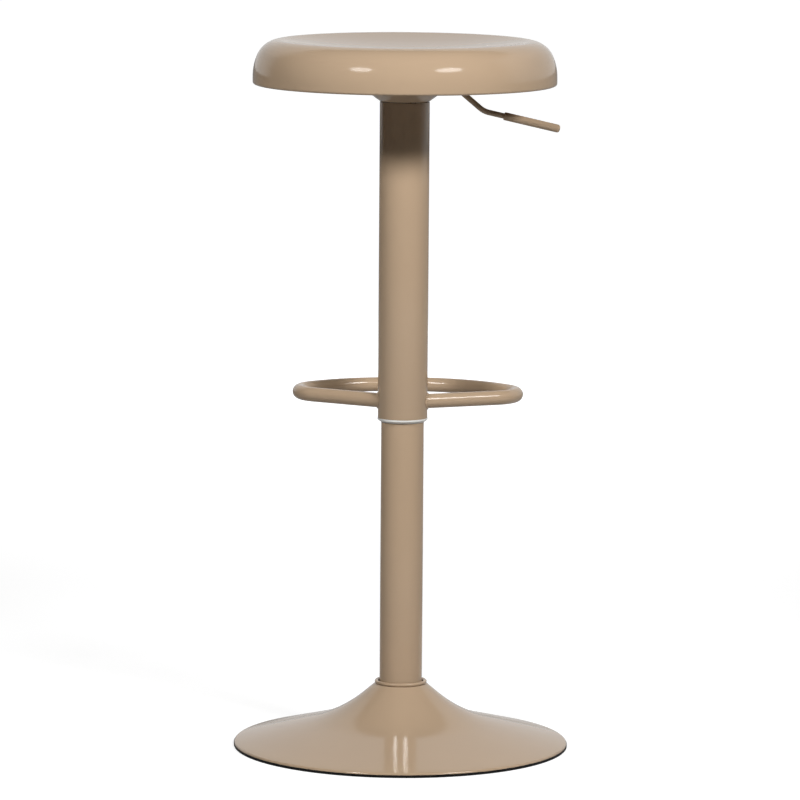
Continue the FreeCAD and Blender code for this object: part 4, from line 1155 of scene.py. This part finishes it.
# Widths and heights of the lamps
SOFTBOX, BACK_SOFTBOX = (0.8, 0.55), (1.4, 1.0)
RIGHT_GLINT, LEFT_GLINT = 1.05, 0.85
GLINT_HEIGHT, TUBE_GLINT_HEIGHT, COLUMN_GLINT_HEIGHT = 0.45, 0.9, 0.6
GLINT_STEP = 0.1  # how much nearer each further one stands, because lamps in one place hide each other
LAMP_AIM = 0.6  # how far up the stool the lamps look


def round_the_stool(azimuth):
    """The level direction from the stool to a place round it."""
    return Vector((math.sin(azimuth), -math.cos(azimuth), 0))


class STOOL_OT_stage(bpy.types.Operator):
    """Adds the pale floor, the backdrop, the lamps and the camera"""

    bl_idname = "stool.stage"
    bl_label = "Stage"

    def execute(self, context):
        stage = context.scene.stool_stage
        self.add_floor(stage)
        self.light_all_round(stage)
        self.add_lamps(stage)
        self.add_camera(stage)
        context.scene.view_settings.view_transform = "Standard"
        return {"FINISHED"}

    def seen_share(self, material, mirrored):
        """1 where the camera sees the surroundings, also through a piece, or else their mirrored share."""
        path = add_node(material, "ShaderNodeLightPath").outputs
        reflected = maths(material, "MULTIPLY", path["Is Glossy Ray"], mirrored)
        direct = maths(material, "MAXIMUM", path["Is Camera Ray"], path["Is Transmission Ray"])
        return maths(material, "MAXIMUM", direct, reflected)

    def facing(self, material, direction, azimuth):
        """The cosine between a direction and a level one."""
        return maths(material, "DOT_PRODUCT", direction, round_the_stool(azimuth), kind=VECTOR_MATHS)

    def add_floor(self, stage):
        """A matt floor. Where it is seen it glows: white where no shadow falls, and wholly further out."""
        ready_to_add()
        bpy.ops.mesh.primitive_circle_add(vertices=WIDE_SIDES, radius=stage.floor_size / 2, fill_type="NGON")
        floor = bpy.context.object
        floor.name = "floor"
        material, shader = new_material("pale_floor")
        set_inputs(shader, Base_Color=linear(stage.floor_colour), Roughness=1, Specular_IOR_Level=0)
        set_inputs(shader, Emission_Color=WHITE)
        place = add_node(material, "ShaderNodeTexCoord").outputs["Object"]
        distance = maths(material, "LENGTH", place, kind=VECTOR_MATHS)
        away = maths(material, "NORMALIZE", place, kind=VECTOR_MATHS, output="Vector")
        glow = faded(material, distance, FLOOR_GLOW_FADE, stage.floor_glow, 1)
        facing = self.facing(material, away, stage.backdrop_azimuth)
        behind = faded(material, facing, MIRRORED_FLOOR_FADE, 0, 1)
        near = faded(material, distance, NEAR_FLOOR_FADE, stage.mirrored_near_floor, stage.mirrored_floor)
        mirrored = maths(material, "MULTIPLY", behind, near)
        seen = maths(material, "MULTIPLY", glow, self.seen_share(material, mirrored))
        join(material, seen, shader.inputs["Emission Strength"])
        floor.data.materials.append(material)

    def light_all_round(self, stage):
        """White for the camera. For light and reflections there is a grey backdrop behind the stool."""
        world = bpy.data.worlds.new("studio")
        bpy.context.scene.world = world
        world.use_nodes = True
        lighting = world.node_tree.nodes["Background"]
        direction = add_node(world, "ShaderNodeTexCoord").outputs["Generated"]
        parts = add_node(world, "ShaderNodeSeparateXYZ")
        join(world, direction, parts.inputs[0])
        facing = self.facing(world, direction, stage.backdrop_azimuth)
        behind = faded(world, facing, BACKDROP_FADE, 0, stage.backdrop)
        backdrop = maths(world, "MULTIPLY", behind, faded(world, parts.outputs["Z"], BACKDROP_TOP_FADE, 1, 0))
        set_inputs(lighting, Color=WHITE)
        join(world, backdrop, lighting.inputs["Strength"])
        seen = add_node(world, "ShaderNodeBackground", Color=WHITE, Strength=1)
        chosen = add_node(world, "ShaderNodeMixShader")
        sources = (self.seen_share(world, backdrop), lighting.outputs[0], seen.outputs[0])
        for source, target in zip(sources, chosen.inputs):
            join(world, source, target)
        join(world, chosen.outputs[0], world.node_tree.nodes["World Output"].inputs["Surface"])

    def add_lamps(self, stage):
        """Two softboxes in front and a weak one behind. For each one in front, three lamps are mirrored."""
        right, left = stage.right_azimuth, stage.left_azimuth
        back = (stage.back_azimuth, stage.back_height, stage.back_distance)
        front = (stage.lamp_height, stage.lamp_distance, SOFTBOX)
        self.add_lamp("right_softbox", right, *front, stage.right_power, reflects=False)
        self.add_lamp("left_softbox", left, *front, stage.left_power, reflects=False)
        self.add_lamp("back_softbox", *back, BACK_SOFTBOX, stage.back_power, reflects=False)
        tubes = ("footrest_bent_tube", "base_trumpet", "neck_collar")
        glints = (
            ("right", right, right + stage.tube_glint_shift, RIGHT_GLINT, stage.right_glint),
            ("left", left, left, LEFT_GLINT, stage.left_glint),
        )
        for side, azimuth, tube_azimuth, width, power in glints:
            for step, kind, place, height, gain, pieces in (
                (1, "_glint", azimuth, GLINT_HEIGHT, 1, ()),
                (2, "_tube_glint", tube_azimuth, TUBE_GLINT_HEIGHT, stage.tube_glint, tubes),
                (3, "_column_glint", azimuth, COLUMN_GLINT_HEIGHT, stage.column_glint, ("column_shell",)),
            ):
                self.add_glint(side + kind, place, step, (width, height), power * gain, pieces)

    def add_glint(self, name, azimuth, step, size, power, pieces):
        """A softbox's reflection in some pieces, or else in all. It stands steps in front of the softbox."""
        stage = bpy.context.scene.stool_stage
        distance = stage.lamp_distance - step * GLINT_STEP
        lamp = self.add_lamp(name, azimuth, stage.lamp_height, distance, size, power, lights=False)
        if pieces:
            receivers = bpy.data.collections.new(name + "_receivers")
            for piece in pieces:
                receivers.objects.link(bpy.data.objects[piece])
            lamp.light_linking.receiver_collection = receivers

    def add_lamp(self, name, azimuth, height, distance, size, power, reflects=True, lights=True):
        """A soft lamp that looks at the stool's middle."""
        light = bpy.data.lights.new(name, "AREA")
        light.shape = "ELLIPSE"
        light.size, light.size_y = size
        light.energy = power
        lamp = bpy.data.objects.new(name, light)
        bpy.context.scene.collection.objects.link(lamp)
        lamp.location = round_the_stool(azimuth) * distance + UP * height
        aim = UP * highest("seat_pan").z * LAMP_AIM
        lamp.rotation_euler = (lamp.location - aim).to_track_quat("Z", "Y").to_euler()
        lamp.visible_glossy = reflects
        lamp.visible_diffuse = lights
        return lamp

    def add_camera(self, stage):
        lens = bpy.data.cameras.new("camera")
        camera = bpy.data.objects.new("camera", lens)
        bpy.context.scene.collection.objects.link(camera)
        lens.lens = stage.lens
        lens.clip_end = stage.floor_size
        place = round_the_stool(stage.camera_azimuth) * stage.camera_distance + UP * stage.camera_height
        camera.matrix_world = (
            Matrix.Translation(place)
            @ Matrix.Rotation(stage.camera_azimuth + stage.camera_pan, 4, "Z")
            @ Matrix.Rotation(RIGHT_ANGLE - stage.camera_pitch, 4, "X")
            @ Matrix.Rotation(stage.camera_roll, 4, "Z")
        )
        bpy.context.scene.camera = camera


SETTINGS = {
    "stool_seat": SeatSizes,
    "stool_bowl": BowlSizes,
    "stool_cup": CupSizes,
    "stool_lever": LeverSizes,
    "stool_footrest": FootrestSizes,
    "stool_column": ColumnSizes,
    "stool_base": BaseSizes,
    "stool_finishes": FinishSettings,
    "stool_stage": StageSettings,
}

OPERATORS = [
    STOOL_OT_seat_pan, STOOL_OT_seat_bowl, STOOL_OT_seat_bolts, STOOL_OT_mechanism_cup, STOOL_OT_lever,
    STOOL_OT_cover_tube, STOOL_OT_column_tube, STOOL_OT_footrest_hoop, STOOL_OT_footrest_welds,
    STOOL_OT_base_dish, STOOL_OT_neck_ring, STOOL_OT_base_underside, STOOL_OT_inner_pieces, STOOL_OT_stage,
]


class VIEW3D_PT_bar_stool(bpy.types.Panel):
    """Lists the stool's sizes, its finishes and the operators that model it"""

    bl_label = "Bar Stool"
    bl_space_type = "VIEW_3D"
    bl_region_type = "UI"
    bl_category = "Bar Stool"

    def draw(self, context):
        for operator in OPERATORS:
            self.layout.operator(operator.bl_idname)
        for attribute, group in SETTINGS.items():
            box = self.layout.box()
            box.label(text=group.__name__)
            for name in group.__annotations__:
                box.prop(getattr(context.scene, attribute), name)


CLASSES = [*SETTINGS.values(), *OPERATORS, VIEW3D_PT_bar_stool]


def register():
    for cls in CLASSES:
        bpy.utils.register_class(cls)
    for attribute, group in SETTINGS.items():
        setattr(bpy.types.Scene, attribute, bpy.props.PointerProperty(type=group))


def unregister():
    for attribute in SETTINGS:
        delattr(bpy.types.Scene, attribute)
    for cls in reversed(CLASSES):
        bpy.utils.unregister_class(cls)


def main():
    register()
    for operator in OPERATORS:
        group, name = operator.bl_idname.split(".")
        getattr(getattr(bpy.ops, group), name)()


if __name__ == "__main__":
    main()
